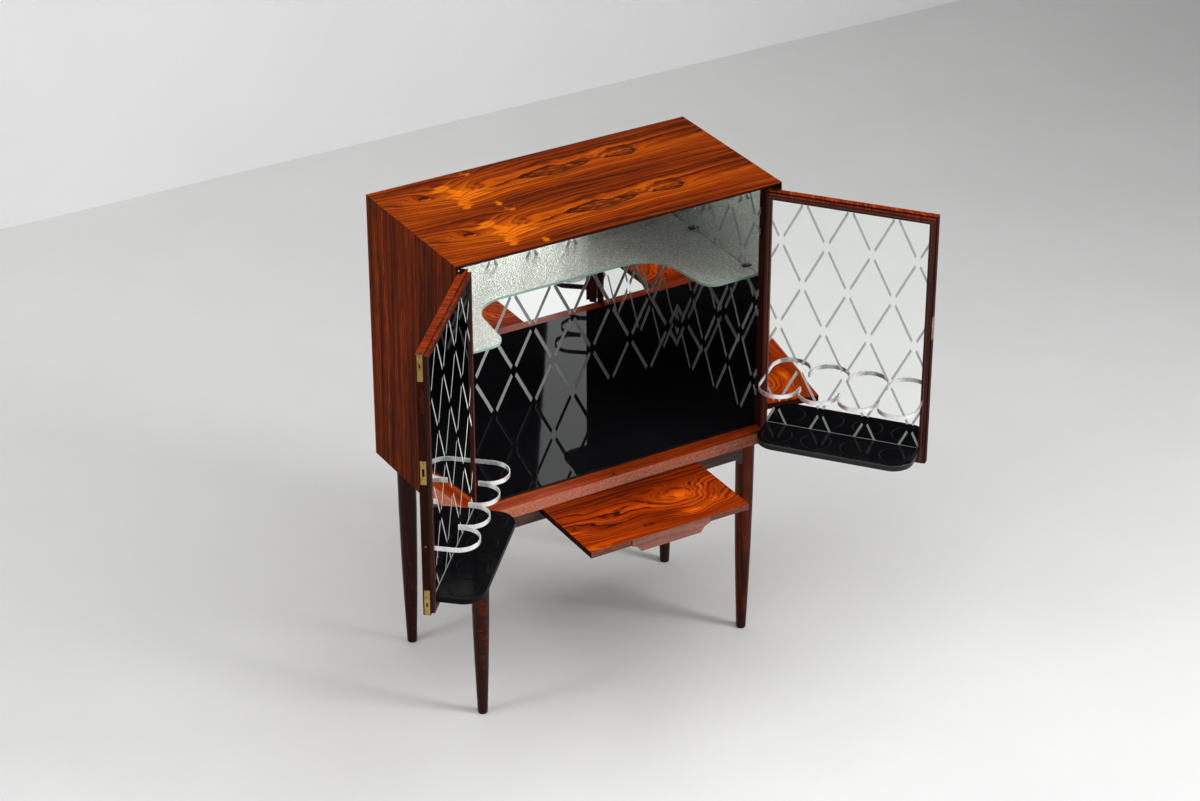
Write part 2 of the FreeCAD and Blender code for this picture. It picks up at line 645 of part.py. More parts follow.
def rail_blank(half_length, place, along):
    """A rail seen from its face: straight below, with a small quarter-round bracket at each leg."""
    low = RAIL_BOTTOM - RAIL_BRACKET_RADIUS
    foot = half_length - LEG_TOP_DIAMETER / 2
    bend = foot - RAIL_BRACKET_RADIUS
    turn = RAIL_BRACKET_RADIUS * math.sqrt(0.5)
    right = Part.Arc(place(foot, low), place(bend + turn, low + turn), place(bend, RAIL_BOTTOM)).toShape()
    left = Part.Arc(place(-bend, RAIL_BOTTOM), place(-bend - turn, low + turn), place(-foot, low)).toShape()
    corners = [(-foot, low), (-half_length, low), (-half_length, CASE_LIFT), (half_length, CASE_LIFT),
               (half_length, low), (foot, low)]
    edges = [Part.makeLine(place(*a), place(*b)) for a, b in zip(corners, corners[1:])]
    edges += [right, Part.makeLine(place(bend, RAIL_BOTTOM), place(-bend, RAIL_BOTTOM)), left]
    return Part.Face(Part.Wire(Part.__sortEdges__(edges))).extrude(along)


def coped(rail, legs):
    """A rail cut to the legs that it stands between, with the waste beyond them dropped."""
    for post in legs:
        rail = rail.cut(post)
    return max(rail.Solids, key=lambda solid: solid.Volume)


def all_legs():
    front_right = leg()
    front_left = mirrored(front_right)
    back = V(0, 0, 0), V(0, 1, 0)
    return {"leg_front_left": front_left, "leg_front_right": front_right,
            "leg_rear_left": front_left.mirror(*back), "leg_rear_right": front_right.mirror(*back)}


def rear_rail(legs):
    blank = rail_blank(LEG_X, lambda a, z: V(a, RAIL_OUTER_Y - RAIL_THICK, z), V(0, RAIL_THICK, 0))
    return coped(blank, [legs["leg_rear_left"], legs["leg_rear_right"]])


def front_rail(legs):
    """As the rear rail, with a notch below the case that the serving board passes through."""
    blank = rail_blank(LEG_X, lambda a, z: V(a, -RAIL_OUTER_Y, z), V(0, RAIL_THICK, 0))
    half = BOARD_WIDTH / 2 + BOARD_SIDE_PLAY
    notch = block(-half, half, -RAIL_OUTER_Y - OVERRUN, -RAIL_OUTER_Y + RAIL_THICK + OVERRUN,
                  BOARD_UNDER - BOARD_PLAY, CASE_LIFT + OVERRUN)
    return coped(blank.cut(notch), [legs["leg_front_left"], legs["leg_front_right"]])


def left_rail(legs):
    blank = rail_blank(LEG_Y, lambda a, z: V(-RAIL_OUTER_X, a, z), V(RAIL_THICK, 0, 0))
    return coped(blank, [legs["leg_front_left"], legs["leg_rear_left"]])


def left_runner():
    """A channel under the case, which the edge of the board runs in."""
    web = -BOARD_WIDTH / 2 - BOARD_SIDE_PLAY
    y0, y1 = -RAIL_OUTER_Y + RAIL_THICK, RAIL_OUTER_Y - RAIL_THICK
    ledge_top = BOARD_UNDER - BOARD_PLAY
    body = block(web - RUNNER_WIDTH, -BOARD_WIDTH / 2 + RUNNER_LEDGE, y0, y1,
                 ledge_top - RUNNER_LEDGE_THICK, CASE_LIFT)
    groove = block(web, -BOARD_WIDTH / 2 + RUNNER_LEDGE, y0, y1, ledge_top, BOARD_TOP + BOARD_PLAY)
    return body.cut(groove)


def serving_board():
    half = BOARD_WIDTH / 2
    return block(-half, half, BOARD_FRONT, BOARD_FRONT + BOARD_DEPTH, BOARD_UNDER, BOARD_TOP)


def pull_outline(y, thick, top):
    """The pull seen from the front: wide at the top, drawn in by a hollow at each end, narrow below."""
    waist, low = BOARD_UNDER - PULL_WAIST_DROP, BOARD_UNDER - PULL_DROP
    half = [(PULL_TOP_WIDTH / 2, BOARD_UNDER, 0), (PULL_WAIST_WIDTH / 2, waist, PULL_WAIST_RADIUS),
            (PULL_BOTTOM_WIDTH / 2, low, PULL_CORNER_RADIUS)]
    corners = half + [(-x, z, radius) for x, z, radius in reversed(half)]
    if top > BOARD_UNDER:
        corners += [(-PULL_TOP_WIDTH / 2, top, 0), (PULL_TOP_WIDTH / 2, top, 0)]
    return plate(corners, lambda a, z: V(a, y, z), V(0, thick, 0))


def board_pull():
    """A finger grip below the board's front edge, its face a little proud of that edge."""
    face = pull_outline(BOARD_FRONT - PULL_PROUD, PULL_PROUD, BOARD_TOP)
    return face.fuse(pull_outline(BOARD_FRONT, PULL_THICK, BOARD_UNDER)).removeSplitter()


def board_stop():
    """A cleat under the board that meets the back of the front rail when the board is drawn right out."""
    y = -RAIL_OUTER_Y + RAIL_THICK + STOP_GAP
    return block(-STOP_LENGTH / 2, STOP_LENGTH / 2, y, y + STOP_WIDTH, BOARD_UNDER - STOP_HEIGHT, BOARD_UNDER)


def case_pieces():
    legs = all_legs()
    left_side, left_mirror = case_left_side(), left_side_mirror()
    side_rail, runner, leaves = left_rail(legs), left_runner(), left_case_hinge_leaves()
    pieces = {
        "case_top": case_top(), "case_bottom": case_bottom(),
        "case_left_side": left_side, "case_right_side": mirrored(left_side),
        "case_back": case_back(), "back_mirror": back_mirror(),
        "left_side_mirror": left_mirror, "right_side_mirror": mirrored(left_mirror),
        "floor_panel": floor_panel(), "glass_shelf": glass_shelf(), "shelf_clips": shelf_clips(),
        "left_case_hinge_leaves": leaves, "right_case_hinge_leaves": mirrored(leaves),
        "bolt_keepers": bolt_keepers(),
        "front_rail": front_rail(legs), "rear_rail": rear_rail(legs),
        "left_rail": side_rail, "right_rail": mirrored(side_rail),
        "left_runner": runner, "right_runner": mirrored(runner),
        "serving_board": serving_board(), "board_pull": board_pull(), "board_stop": board_stop(),
    }
    pieces.update(legs)
    return pieces


def door_pieces():
    """Both doors' pieces, shut: first the left door's, then the right door's."""
    shared = {"rim": door_rim(), "mirror": door_mirror(), "tray": door_tray(), "band": door_band(),
              "hinge_leaves": door_hinge_leaves()}
    left = {"left_door_" + name: shape for name, shape in shared.items()}
    right = {"right_door_" + name: mirrored(shape) for name, shape in shared.items()}
    left.update({
        "left_door_slab": left_door_slab(), "upper_bolt_plate": bolt_plate(True),
        "lower_bolt_plate": bolt_plate(False), "upper_bolt": flush_bolt(True), "lower_bolt": flush_bolt(False),
        "strike_plate": strike_plate(), "meeting_button": meeting_button(),
    })
    right.update({
        "right_door_slab": right_door_slab(), "lock_plate": lock_plate(), "lock_case": lock_case(),
        "lock_bolt": lock_bolt(), "keyhole_escutcheon": keyhole_escutcheon(),
    })
    return left, right


def main():
    pieces = case_pieces()
    left, right = door_pieces()
    for name, shape in left.items():
        pieces[name] = shape.copy()
        pieces[name].rotate(V(PIVOT_X, PIVOT_Y, 0), V(0, 0, 1), -LEFT_OPEN)
    for name, shape in right.items():
        pieces[name] = shape.copy()
        pieces[name].rotate(V(-PIVOT_X, PIVOT_Y, 0), V(0, 0, 1), RIGHT_OPEN)
    front = min(shape.optimalBoundingBox().YMin for shape in pieces.values())
    back_off = -(front + HALF_DEPTH) / 2
    os.makedirs("parts", exist_ok=True)
    for name, shape in pieces.items():
        shape.translate(V(0, back_off, 0))
        shape.exportStep(os.path.join("parts", name + ".step"))
        print("%-26s solids %d valid %s volume %.0f" % (name, len(shape.Solids), shape.isValid(), shape.Volume))
    print("case middle stands at y = %.3f" % back_off)
    print("left pivot (%.3f, %.3f), board travel %.3f" % (PIVOT_X, PIVOT_Y + back_off, BOARD_TRAVEL))


if __name__ == "__main__":
    main()
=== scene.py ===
"""Looks of a bar cabinet: rosewood veneers, etched mirrors, black glass trays, bright bands and brass."""
import json
import math

import bmesh
import bpy
from mathutils import Euler, Matrix, Vector


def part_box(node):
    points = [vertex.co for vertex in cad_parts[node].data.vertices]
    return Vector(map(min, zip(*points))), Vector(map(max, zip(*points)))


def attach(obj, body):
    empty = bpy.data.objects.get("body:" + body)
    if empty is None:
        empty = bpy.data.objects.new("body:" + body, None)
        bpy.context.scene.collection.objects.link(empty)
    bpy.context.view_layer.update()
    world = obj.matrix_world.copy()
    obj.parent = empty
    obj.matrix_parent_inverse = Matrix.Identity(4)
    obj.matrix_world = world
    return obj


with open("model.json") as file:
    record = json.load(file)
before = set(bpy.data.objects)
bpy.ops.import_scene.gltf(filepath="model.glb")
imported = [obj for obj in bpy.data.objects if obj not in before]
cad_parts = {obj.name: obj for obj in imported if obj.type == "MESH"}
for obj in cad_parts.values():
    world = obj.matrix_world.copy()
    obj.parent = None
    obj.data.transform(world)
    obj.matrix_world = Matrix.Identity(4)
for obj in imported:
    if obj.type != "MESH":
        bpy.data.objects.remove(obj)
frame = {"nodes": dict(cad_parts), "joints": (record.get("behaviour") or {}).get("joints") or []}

bl_info = {
    "name": "Bar cabinet",
    "version": (1, 0, 0),
    "blender": (4, 5, 0),
    "location": "View3D > Sidebar > Cabinet",
    "description": "Dresses a bar cabinet in veneer, mirror, glass, lacquer and brass",
    "category": "Object",
}

NODES = frame["nodes"]
JOINTS = {joint["name"]: joint for joint in frame["joints"]}
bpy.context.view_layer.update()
CASE_LOW, CASE_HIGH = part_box("case_bottom")[0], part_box("case_top")[1]
CASE_MIDDLE = (Vector(CASE_LOW) + Vector(CASE_HIGH)) / 2
ORIGIN = (0.0, 0.0, 0.0)


# Settings that a user would change

def tint_setting(name, description, default):
    return bpy.props.FloatVectorProperty(name=name, description=description, default=default, size=3,
                                         subtype="COLOR", min=0.0, max=1.0)


def number_setting(name, description, default, **kind):
    return bpy.props.FloatProperty(name=name, description=description, default=default, min=0.0, **kind)


def length_setting(name, description, default):
    return number_setting(name, description, default, subtype="DISTANCE", unit="LENGTH")


def power_setting(name, description, default):
    return number_setting(name, description, default, unit="POWER")


class VeneerSettings(bpy.types.PropertyGroup):
    """Tones of the rosewood."""
    light: tint_setting("Light tone", "The orange wood between the dark lines", (0.5, 0.09, 0.002))
    middle: tint_setting("Middle tone", "The red-brown body of the wood", (0.21, 0.027, 0.0008))
    dark: tint_setting("Dark tone", "The ink-dark growth lines and streaks", (0.026, 0.006, 0.003))
    flame: tint_setting("Flame tone", "The golden patches of the figured leaf", (0.78, 0.17, 0.003))
    line_spacing: length_setting("Line spacing", "Distance between growth lines in plain veneer", 0.016)


class LatticeSettings(bpy.types.PropertyGroup):
    """The etched diamond lattice."""
    diamond_width: length_setting("Diamond width", "Width of a diamond", 0.105)
    door_diamond_height: length_setting("Height on doors", "Height of a diamond on the doors", 0.209)
    wall_diamond_height: length_setting("Height on walls", "Height of a diamond on the case's walls", 0.205)
    line_width: length_setting("Line width", "Width of an etched line on the case's walls", 0.0075)
    door_line_width: length_setting("Line width on doors", "Width of an etched line on the doors", 0.0054)
    crossing_gap: length_setting("Crossing gap", "How far short of a crossing each line stops", 0.0125)
    # The walls' etched lines take a darker tint than the doors' same etching: painted shade inside the case
    tint: tint_setting("Etched tint", "Tone of frosted lines on the case's walls", (0.3, 0.315, 0.3))
    door_tint: tint_setting("Etched tint on doors", "Tone of frosted lines on the doors", (0.6, 0.63, 0.6))


class StageSettings(bpy.types.PropertyGroup):
    """The floor, the wall behind and the light."""
    floor_tone: tint_setting("Floor tone", "Tone of the floor", (0.87, 0.87, 0.865))
    wall_tone: tint_setting("Wall tone", "Tone of the wall", (0.99, 0.99, 0.99))
    wall_place: length_setting("Wall place", "Where the wall stands behind the cabinet", 2.93)
    key_power: power_setting("Key light", "Power of the large soft light overhead", 178.0)
    sky_strength: number_setting("Room light", "Strength of the soft light from above", 0.42)
    room_dark: number_setting("Dark side", "Strength of the light from the rest of the room", 0.012)
    box_power: power_setting("Softbox", "Power of the tall softbox at the front right", 96.0)
    shelf_power: power_setting("Shelf light", "Power of the faint light over the shelf", 0.77)
    inside_power: power_setting("Inside light", "Power of the light on the back wall's left", 0.95)


# Building materials from nodes

CONE_BLUNTNESS = 0.02


class Recipe:
    """One material that is being put together."""

    def __init__(self, name):
        self.material = bpy.data.materials.new(name)
        self.material.use_nodes = True
        self.tree = self.material.node_tree
        self.tree.nodes.clear()
        output = self.node("OutputMaterial")
        self.surface = self.node("BsdfPrincipled")
        self.tree.links.new(self.surface.outputs["BSDF"], output.inputs["Surface"])

    def node(self, kind, **properties):
        """Adds a shader node of a kind and sets its properties."""
        node = self.tree.nodes.new("ShaderNode" + kind)
        for name, value in properties.items():
            setattr(node, name, value)
        return node

    def put(self, socket, value):
        """Links a node's result to a socket, or sets a plain value on it."""
        if isinstance(value, bpy.types.NodeSocket):
            self.tree.links.new(value, socket)
        else:
            socket.default_value = value

    def maths(self, operation, first, second=None, clamp=False):
        node = self.node("Math", operation=operation, use_clamp=clamp)
        self.put(node.inputs[0], first)
        if second is not None:
            self.put(node.inputs[1], second)
        return node.outputs[0]

    def total(self, *values):
        result = values[0]
        for value in values[1:]:
            result = self.maths("ADD", result, value)
        return result

    def product(self, first, second):
        return self.maths("MULTIPLY", first, second)

    def difference(self, first, second):
        return self.maths("SUBTRACT", first, second)

    def scaled(self, vector, factors):
        node = self.node("VectorMath", operation="MULTIPLY")
        self.put(node.inputs[0], vector)
        node.inputs[1].default_value = factors
        return node.outputs[0]

    def noise(self, vector, scale=1.0, detail=2.0, roughness=0.5, output="Fac"):
        node = self.node("TexNoise")
        self.put(node.inputs["Vector"], vector)
        for name, number in (("Scale", scale), ("Detail", detail), ("Roughness", roughness)):
            node.inputs[name].default_value = number
        return node.outputs[output]

    def spread(self, value, low, high, to_low=0.0, to_high=1.0, smooth=True):
        """Maps a value from one range to another and holds it at both ends."""
        node = self.node("MapRange", interpolation_type="SMOOTHSTEP" if smooth else "LINEAR")
        self.put(node.inputs["Value"], value)
        for name, number in (("From Min", low), ("From Max", high), ("To Min", to_low), ("To Max", to_high)):
            node.inputs[name].default_value = number
        return node.outputs["Result"]

    def swing(self, value, margin, reach):
        """Turns a noise, less a margin at both ends, into plus or minus reach."""
        return self.spread(value, margin, 1.0 - margin, -reach, reach, smooth=False)

    def mix(self, factor, first, second, mode="MIX"):
        node = self.node("Mix", data_type="RGBA", blend_type=mode)
        self.put(node.inputs[0], factor)
        for socket, value in ((node.inputs[6], first), (node.inputs[7], second)):
            self.put(socket, value if isinstance(value, bpy.types.NodeSocket) else (*value, 1.0))
        return node.outputs[2]

    def steps(self, factor, stops):
        """A colour ramp through (place, colour) stops."""
        node = self.node("ValToRGB")
        self.put(node.inputs[0], factor)
        elements = node.color_ramp.elements
        while len(elements) < len(stops):
            elements.new(0.5)
        for element, (place, colour) in zip(elements, stops):
            element.position = place
            element.color = (*colour, 1.0)
        return node.outputs[0]

    def ovals(self, along, across, table, pointed=False):
        """Adds up ovals, or cones, given as place along and across, half length and width, and weight."""
        result = 0.0
        for place_along, place_across, half_length, half_width, weight in table:
            a = self.maths("DIVIDE", self.difference(along, place_along), half_length)
            b = self.maths("DIVIDE", self.difference(across, place_across), half_width)
            away = self.total(self.product(a, a), self.product(b, b))
            if pointed:
                away = self.maths("SQRT", self.total(away, CONE_BLUNTNESS))
            swell = self.maths("EXPONENT", self.product(away, -1.0))
            result = self.total(result, self.product(swell, weight))
        return result

    def space(self, turn=None, order="xyz", shift=ORIGIN):
        """Object coordinates, turned back with a shut door and put in the order along, across, through."""
        mapping = self.node("Mapping")
        self.put(mapping.inputs["Vector"], self.node("TexCoord").outputs["Object"])
        place = Vector(shift)
        if turn is not None:
            angle, pivot = turn
            rotation = Matrix.Rotation(angle, 3, "Z")
            mapping.inputs["Rotation"].default_value = (0.0, 0.0, angle)
            place = place + pivot - rotation @ pivot
        mapping.inputs["Location"].default_value = place
        if order == "xyz":
            return mapping.outputs[0]
        parts = self.split(mapping.outputs[0])
        return self.join(*[parts["xyz".index(letter)] for letter in order])

    def split(self, vector):
        node = self.node("SeparateXYZ")
        self.put(node.inputs[0], vector)
        return node.outputs

    def join(self, along, across, through):
        node = self.node("CombineXYZ")
        for socket, value in zip(node.inputs, (along, across, through)):
            self.put(socket, value)
        return node.outputs[0]

    def faces(self, axis):
        """How far a face looks along an axis, such as +z or -x."""
        normal = self.split(self.node("NewGeometry").outputs["True Normal"])["xyz".index(axis[1])]
        return self.product(normal, float(axis[0] + "1"))

    def bump(self, height, strength, distance):
        node = self.node("Bump")
        node.inputs["Strength"].default_value = strength
        node.inputs["Distance"].default_value = distance
        self.put(node.inputs["Height"], height)
        self.put(self.surface.inputs["Normal"], node.outputs[0])

    def set(self, **values):
        """Sets sockets of the shader; an underscore in a name stands for a space."""
        for name, value in values.items():
            self.put(self.surface.inputs[name.replace("_", " ")], value)


def times(colour, factor):
    return tuple(part * factor for part in colour)


def give(material, *names):
    """Puts a material on CAD nodes."""
    for name in names:
        slots = NODES[name].data.materials
        if len(slots):
            slots[0] = material
        else:
            slots.append(material)


# Places with the doors shut

def shut_turn(joint_name):
    """The turn that brings an open door's pieces back to where they lie when it is shut."""
    joint = JOINTS[joint_name]
    return math.radians(joint["range_deg"][1]) * joint["axis"][2], Vector(joint["pos_m"])


def shut_box(name, turn):
    """The box of a door's CAD node as it lies when the door is shut."""
    angle, pivot = turn
    rotation = Matrix.Rotation(angle, 3, "Z")
    places = [rotation @ (vertex.co - pivot) + pivot for vertex in NODES[name].data.vertices]
    return (Vector([min(place[axis] for place in places) for axis in range(3)]),
            Vector([max(place[axis] for place in places) for axis in range(3)]))


def opening(turn):
    """The matrix that swings a shape made on a shut door out to where the door stands open."""
    angle, pivot = turn
    return Matrix.Translation(pivot) @ Matrix.Rotation(-angle, 4, "Z") @ Matrix.Translation(-pivot)


LEFT_SHUT = shut_turn("left_door_hinge")
RIGHT_SHUT = shut_turn("right_door_hinge")
DOORS = (("left", LEFT_SHUT), ("right", RIGHT_SHUT))
CASE_SHIFT = (0.0, -CASE_MIDDLE.y, 0.0)
LEAF_WIDTH = CASE_HIGH[1] - CASE_MIDDLE.y


# Rosewood, with scales per metre along, across and through the wood

SEED_ACROSS_SHARE = 0.31
ROUGH_DETAIL = 3.0
WARP_SCALES = (12.0, 26.0, 26.0)
WARP_MARGIN = 0.2
WARP_REACH = (0.022, 0.009)
WARP_LINES = 0.4
JAG_SCALES = (20.0, 36.0, 36.0)
JAG_DETAIL = 1.6
JAG_MARGIN = 0.25
JAG_REACH = (0.018, 0.01)
DRIFT_SCALES = (1.3, 6.0, 6.0)
DRIFT_LINES = 6.0
DRIFT_LEVEL = 0.5
LINES_THROUGH = 24.0
STRIPE_SCALES = (1.8, 70.0)
STREAK_SCALES = (420.0, 40.0)
STRIPE_RANGE = (0.32, 0.68)
STRIPE_LEVELS = (0.16, 0.82)
BODY_PLACES = (0.0, 0.3, 0.56, 0.86, 1.0)
BODY_SHARES = (1.0, 0.72, 1.4, 1.0, 1.25)
FACING_EDGE = (0.4, 0.7)
SKIN_DEPTHS = (0.0003, 0.0007)
CURL_SCALES = (150.0, 40.0, 40.0)
CURL_MARGIN = 0.35
RING_LEVEL = 0.1
LINE_RISE = (0.66, 0.93)
LINE_FALL = (0.97, 1.0)
INK_SCALES = (2.8, 30.0, 30.0)
INK_RANGE = (0.36, 0.6)
INK_LEAST_SHARE = 0.3
FIBRE_SCALES = (22.0, 820.0, 820.0)
FIBRE_RANGE = (0.3, 0.7)
FIBRE_TINT = (1.35, 1.3, 1.3)
FIBRE_SHARE = 0.3
PORE_SCALES = (60.0, 1100.0, 1100.0)
PORE_RANGE = (0.64, 0.74)
PORE_SHARE = 0.35
STREAK_RANGE = (0.47, 0.66)
STREAK_TONE_SHARE = 1.4
FLAME_RANGE = (0.22, 0.66)
FLAME_SHARE = 0.86
SPIKE_SCALES = (20.0, 90.0, 90.0)
SPIKE_SHARE = 0.35
MOTTLE_SCALES = (60.0, 160.0, 160.0)
MOTTLE_RANGE = (0.42, 0.6)
MOTTLE_TONE_SHARE = 1.3
EYE_RANGE = (0.34, 0.44)
EYE_SHARE = 0.78
EYE_RIM_RISE = (0.3, 0.38)
EYE_RIM_FALL = (0.46, 0.56)
EYE_RIM_SHARE = 0.85
# Grey-brown dulling of the wood; where it is heavy, on the rails, it is painted shade under the case
DULL_AND_SHADE_RANGE = (0.35, 0.65)
DULL_AND_SHADE_DARK = (0.026, 0.016, 0.013)
DULL_AND_SHADE_LIGHT = (0.05, 0.034, 0.028)
# Painted sheen on faces that look to the front: pale pinkish tones for the glancing light they catch
FRONT_SHEEN_SCALES = (260.0, 420.0, 420.0)
FRONT_SHEEN_RANGE = (0.36, 0.62)
FRONT_SHEEN_EDGE = (0.3, 0.5)
FRONT_SHEEN_DARK = (0.2, 0.07, 0.045)
FRONT_SHEEN_LIGHT = (0.4, 0.17, 0.11)
GLOSS_SWING = (-0.05, 0.07)
WOOD_BUMP = (0.12, 0.0003)
WOOD_FIBRE_HEIGHT = 0.4


class Rosewood(Recipe):
    """The wood of one leaf of veneer or one solid piece."""

    def __init__(self, name, turn, order, shift, seed, leaf):
        super().__init__(name)
        self.along, self.across, self.through = self.split(self.space(turn, order, shift))
        if leaf:
            self.across = self.product(self.maths("FRACT", self.maths("DIVIDE", self.across, leaf)), leaf)
        self.seeded = self.total(self.along, seed)
        self.place = self.join(self.seeded, self.total(self.across, seed * SEED_ACROSS_SHARE), self.through)
        self.warp = self.bent(WARP_SCALES, WARP_MARGIN, WARP_REACH)
        self.drift = self.difference(self.grain_noise(DRIFT_SCALES), 0.5)

    def grain_noise(self, scales, detail=2.0, roughness=0.5, output="Fac"):
        return self.noise(self.scaled(self.place, scales), detail=detail, roughness=roughness, output=output)

    def bent(self, scales, margin, reach, detail=2.0):
        """The places along and across, bent by a noise, and a third noise that goes with it."""
        bends = self.split(self.grain_noise(scales, detail, output="Color"))
        return (self.total(self.along, self.swing(bends[0], margin, reach[0])),
                self.total(self.across, self.swing(bends[1], margin, reach[1])), bends[2])

    def growth(self, step, sway, swells):
        """Counts the growth lines across the leaf."""
        count = self.total(self.product(self.across, 1.0 / step), self.product(self.through, LINES_THROUGH),
                           self.product(self.drift, DRIFT_LINES * sway),
                           self.swing(self.warp[2], WARP_MARGIN, WARP_LINES * sway))
        if swells:
            count = self.total(count, self.ovals(self.warp[0], self.warp[1], swells, pointed=True))
        return count

    def drawn(self, flow, along_scale, across_scale, through, detail, roughness):
        """A noise drawn out along the growth lines."""
        return self.noise(self.join(self.product(self.seeded, along_scale), self.product(flow, across_scale),
                                    through), detail=detail, roughness=roughness)

    def eyes(self, body, table, dark, middle):
        """Dark eyes with a mottled inside and a darker rim."""
        spikes = self.difference(self.grain_noise(SPIKE_SCALES, ROUGH_DETAIL), 0.5)
        field = self.total(self.ovals(self.warp[0], self.warp[1], table), self.product(spikes, SPIKE_SHARE))
        mottle = self.mix(self.spread(self.grain_noise(MOTTLE_SCALES, ROUGH_DETAIL), *MOTTLE_RANGE), dark,
                          times(middle, MOTTLE_TONE_SHARE))
        rim = self.product(self.spread(field, *EYE_RIM_RISE), self.spread(field, *EYE_RIM_FALL, 1.0, 0.0))
        body = self.mix(self.spread(field, *EYE_RANGE, 0.0, EYE_SHARE), body, mottle)
        return self.mix(self.product(rim, EYE_RIM_SHARE), body, dark)


def rosewood(name, veneer, turn=None, order="xyz", shift=ORIGIN, seed=0.0, leaf=None, flames=(), eyes=(),
             bands=(), swells=(), sway=1.0, spacing=1.0, lines=0.5, streaks=0.6, grain=7.0, curl=0.0,
             tone=0.0, red=0.0, dull_and_shade=0.0, facing=None, pale=0.0, skin=None, gloss=0.36, gleam=1.05):
    """Rosewood: growth lines with one sharp edge, streaks that follow them, golden flames and dark eyes.

    turn, order and shift place the pattern: order names the axes along, across and through the wood.
    leaf is the width after which the figure starts again, where leaves of one flitch lie side by side.
    flames, eyes, bands and swells list ovals as (along, across, half length, half width, weight).
    facing paints light and shade by the way a face looks: it gives an axis, how much lighter the faces are
    that look along it, and how much lighter the others are; flames show only on the first. skin gives the
    place, through the wood, of an outer face and how much lighter its veneer is. pale is how far cut faces
    that look to the front turn to a pale pinkish tone, a painted sheen for the glancing light they catch.
    """
    r = Rosewood(name, turn, order, shift, seed, leaf)
    step = veneer.line_spacing * spacing
    growth = r.growth(step, sway, swells)
    flow = r.product(growth, step)
    stripes = r.drawn(flow, *STRIPE_SCALES, r.through, detail=4.0, roughness=0.7)
    streak = r.drawn(flow, grain, STREAK_SCALES[0], r.product(r.through, STREAK_SCALES[1]),
                     detail=ROUGH_DETAIL, roughness=0.65)
    fibre = r.grain_noise(FIBRE_SCALES)
    pore = r.spread(r.grain_noise(PORE_SCALES, detail=0.0), *PORE_RANGE)
    ring = r.maths("FRACT", growth)

    low, high = (stop + tone for stop in STRIPE_LEVELS)
    level = r.total(r.spread(stripes, *STRIPE_RANGE, low, high, smooth=False),
                    r.product(r.drift, DRIFT_LEVEL),
                    r.spread(ring, 0.0, 1.0, RING_LEVEL, -RING_LEVEL, smooth=False))
    if bands:
        level = r.total(level, r.ovals(r.along, r.across, bands))
    # Painted light and shade: a face's level shifts with how far it looks along the axis, as light falls on
    # it
    if facing:
        axis, towards, otherwise = facing
        looking = r.faces(axis)
        level = r.total(level, r.spread(looking, *FACING_EDGE, otherwise, towards))
    if skin:
        face, lighter = skin
        under, core = (face + depth for depth in SKIN_DEPTHS)
        level = r.total(level, r.spread(r.through, under, core, lighter, 0.0))
    if curl:
        ripple = r.grain_noise(CURL_SCALES, ROUGH_DETAIL, roughness=0.6)
        level = r.total(level, r.swing(ripple, CURL_MARGIN, curl))

    dark = tuple(veneer.dark)
    middle, light, flame = ((tint[0], tint[1] * (1.0 - red), tint[2])
                            for tint in (veneer.middle, veneer.light, veneer.flame))
    body = r.steps(level, [(place, times(tint, share)) for place, share, tint
                           in zip(BODY_PLACES, BODY_SHARES, (dark, middle, middle, light, light))])
    body = r.mix(r.spread(streak, *STREAK_RANGE, 0.0, streaks), body, times(dark, STREAK_TONE_SHARE))
    if flames:
        torn = r.bent(JAG_SCALES, JAG_MARGIN, JAG_REACH, JAG_DETAIL)
        field = r.spread(r.ovals(torn[0], torn[1], flames), *FLAME_RANGE, 0.0, FLAME_SHARE)
        if facing:
            field = r.product(field, r.spread(looking, *FACING_EDGE))
        body = r.mix(field, body, flame)
    if eyes:
        body = r.eyes(body, eyes, dark, middle)
    line = r.product(r.spread(ring, *LINE_RISE), r.spread(ring, *LINE_FALL, 1.0, 0.0))
    ink = r.spread(r.grain_noise(INK_SCALES), *INK_RANGE, INK_LEAST_SHARE * lines, lines)
    body = r.mix(r.maths("MULTIPLY", line, ink, clamp=True), body, dark)
    body = r.mix(r.product(pore, PORE_SHARE), body, dark)
    body = r.mix(r.spread(fibre, *FIBRE_RANGE, 0.0, FIBRE_SHARE), body, FIBRE_TINT, "MULTIPLY")
    # Grey-brown dulling; heavy on the rails, where it is painted shade under the case
    if dull_and_shade:
        body = r.mix(dull_and_shade, body, r.mix(r.spread(streak, *DULL_AND_SHADE_RANGE), DULL_AND_SHADE_LIGHT, DULL_AND_SHADE_DARK))
    # Painted sheen: cut faces that look to the front turn pale pinkish, standing in for glancing light they
    # catch
    if pale:
        front_sheen = r.mix(r.spread(r.grain_noise(FRONT_SHEEN_SCALES, ROUGH_DETAIL), *FRONT_SHEEN_RANGE), FRONT_SHEEN_DARK, FRONT_SHEEN_LIGHT)
        body = r.mix(r.spread(r.faces("-y"), *FRONT_SHEEN_EDGE, 0.0, pale), body, front_sheen)
    r.set(Base_Color=body, IOR=gleam,
          Roughness=r.spread(fibre, *FIBRE_RANGE, gloss + GLOSS_SWING[0], gloss + GLOSS_SWING[1]))
    r.bump(r.difference(r.product(fibre, WOOD_FIBRE_HEIGHT), pore), *WOOD_BUMP)
    return r.material


# Mirror, lacquer, metal and glass

WHOLE_DIAMONDS = 500.5
WOBBLE_SCALE = 60.0
WOBBLE_REACH = 0.012
LINE_EDGE_SHARES = (0.86, 1.12)
CROSSING_SHARES = (0.9, 1.1)
FROST_SCALE = 900.0
FROST_DARK_SHARE = 0.82
FROST_HEIGHT = 1.5
MIRROR_HAZE_SCALE = 7.0
MIRROR_TONES = ((0.84, 0.86, 0.85), (0.9, 0.915, 0.9))
MIRROR_GLOSS = (0.01, 0.03)
ETCHED_METALLIC = 0.1
ETCHED_ROUGHNESS = 0.6
HAZE_RANGE = (0.3, 0.8)


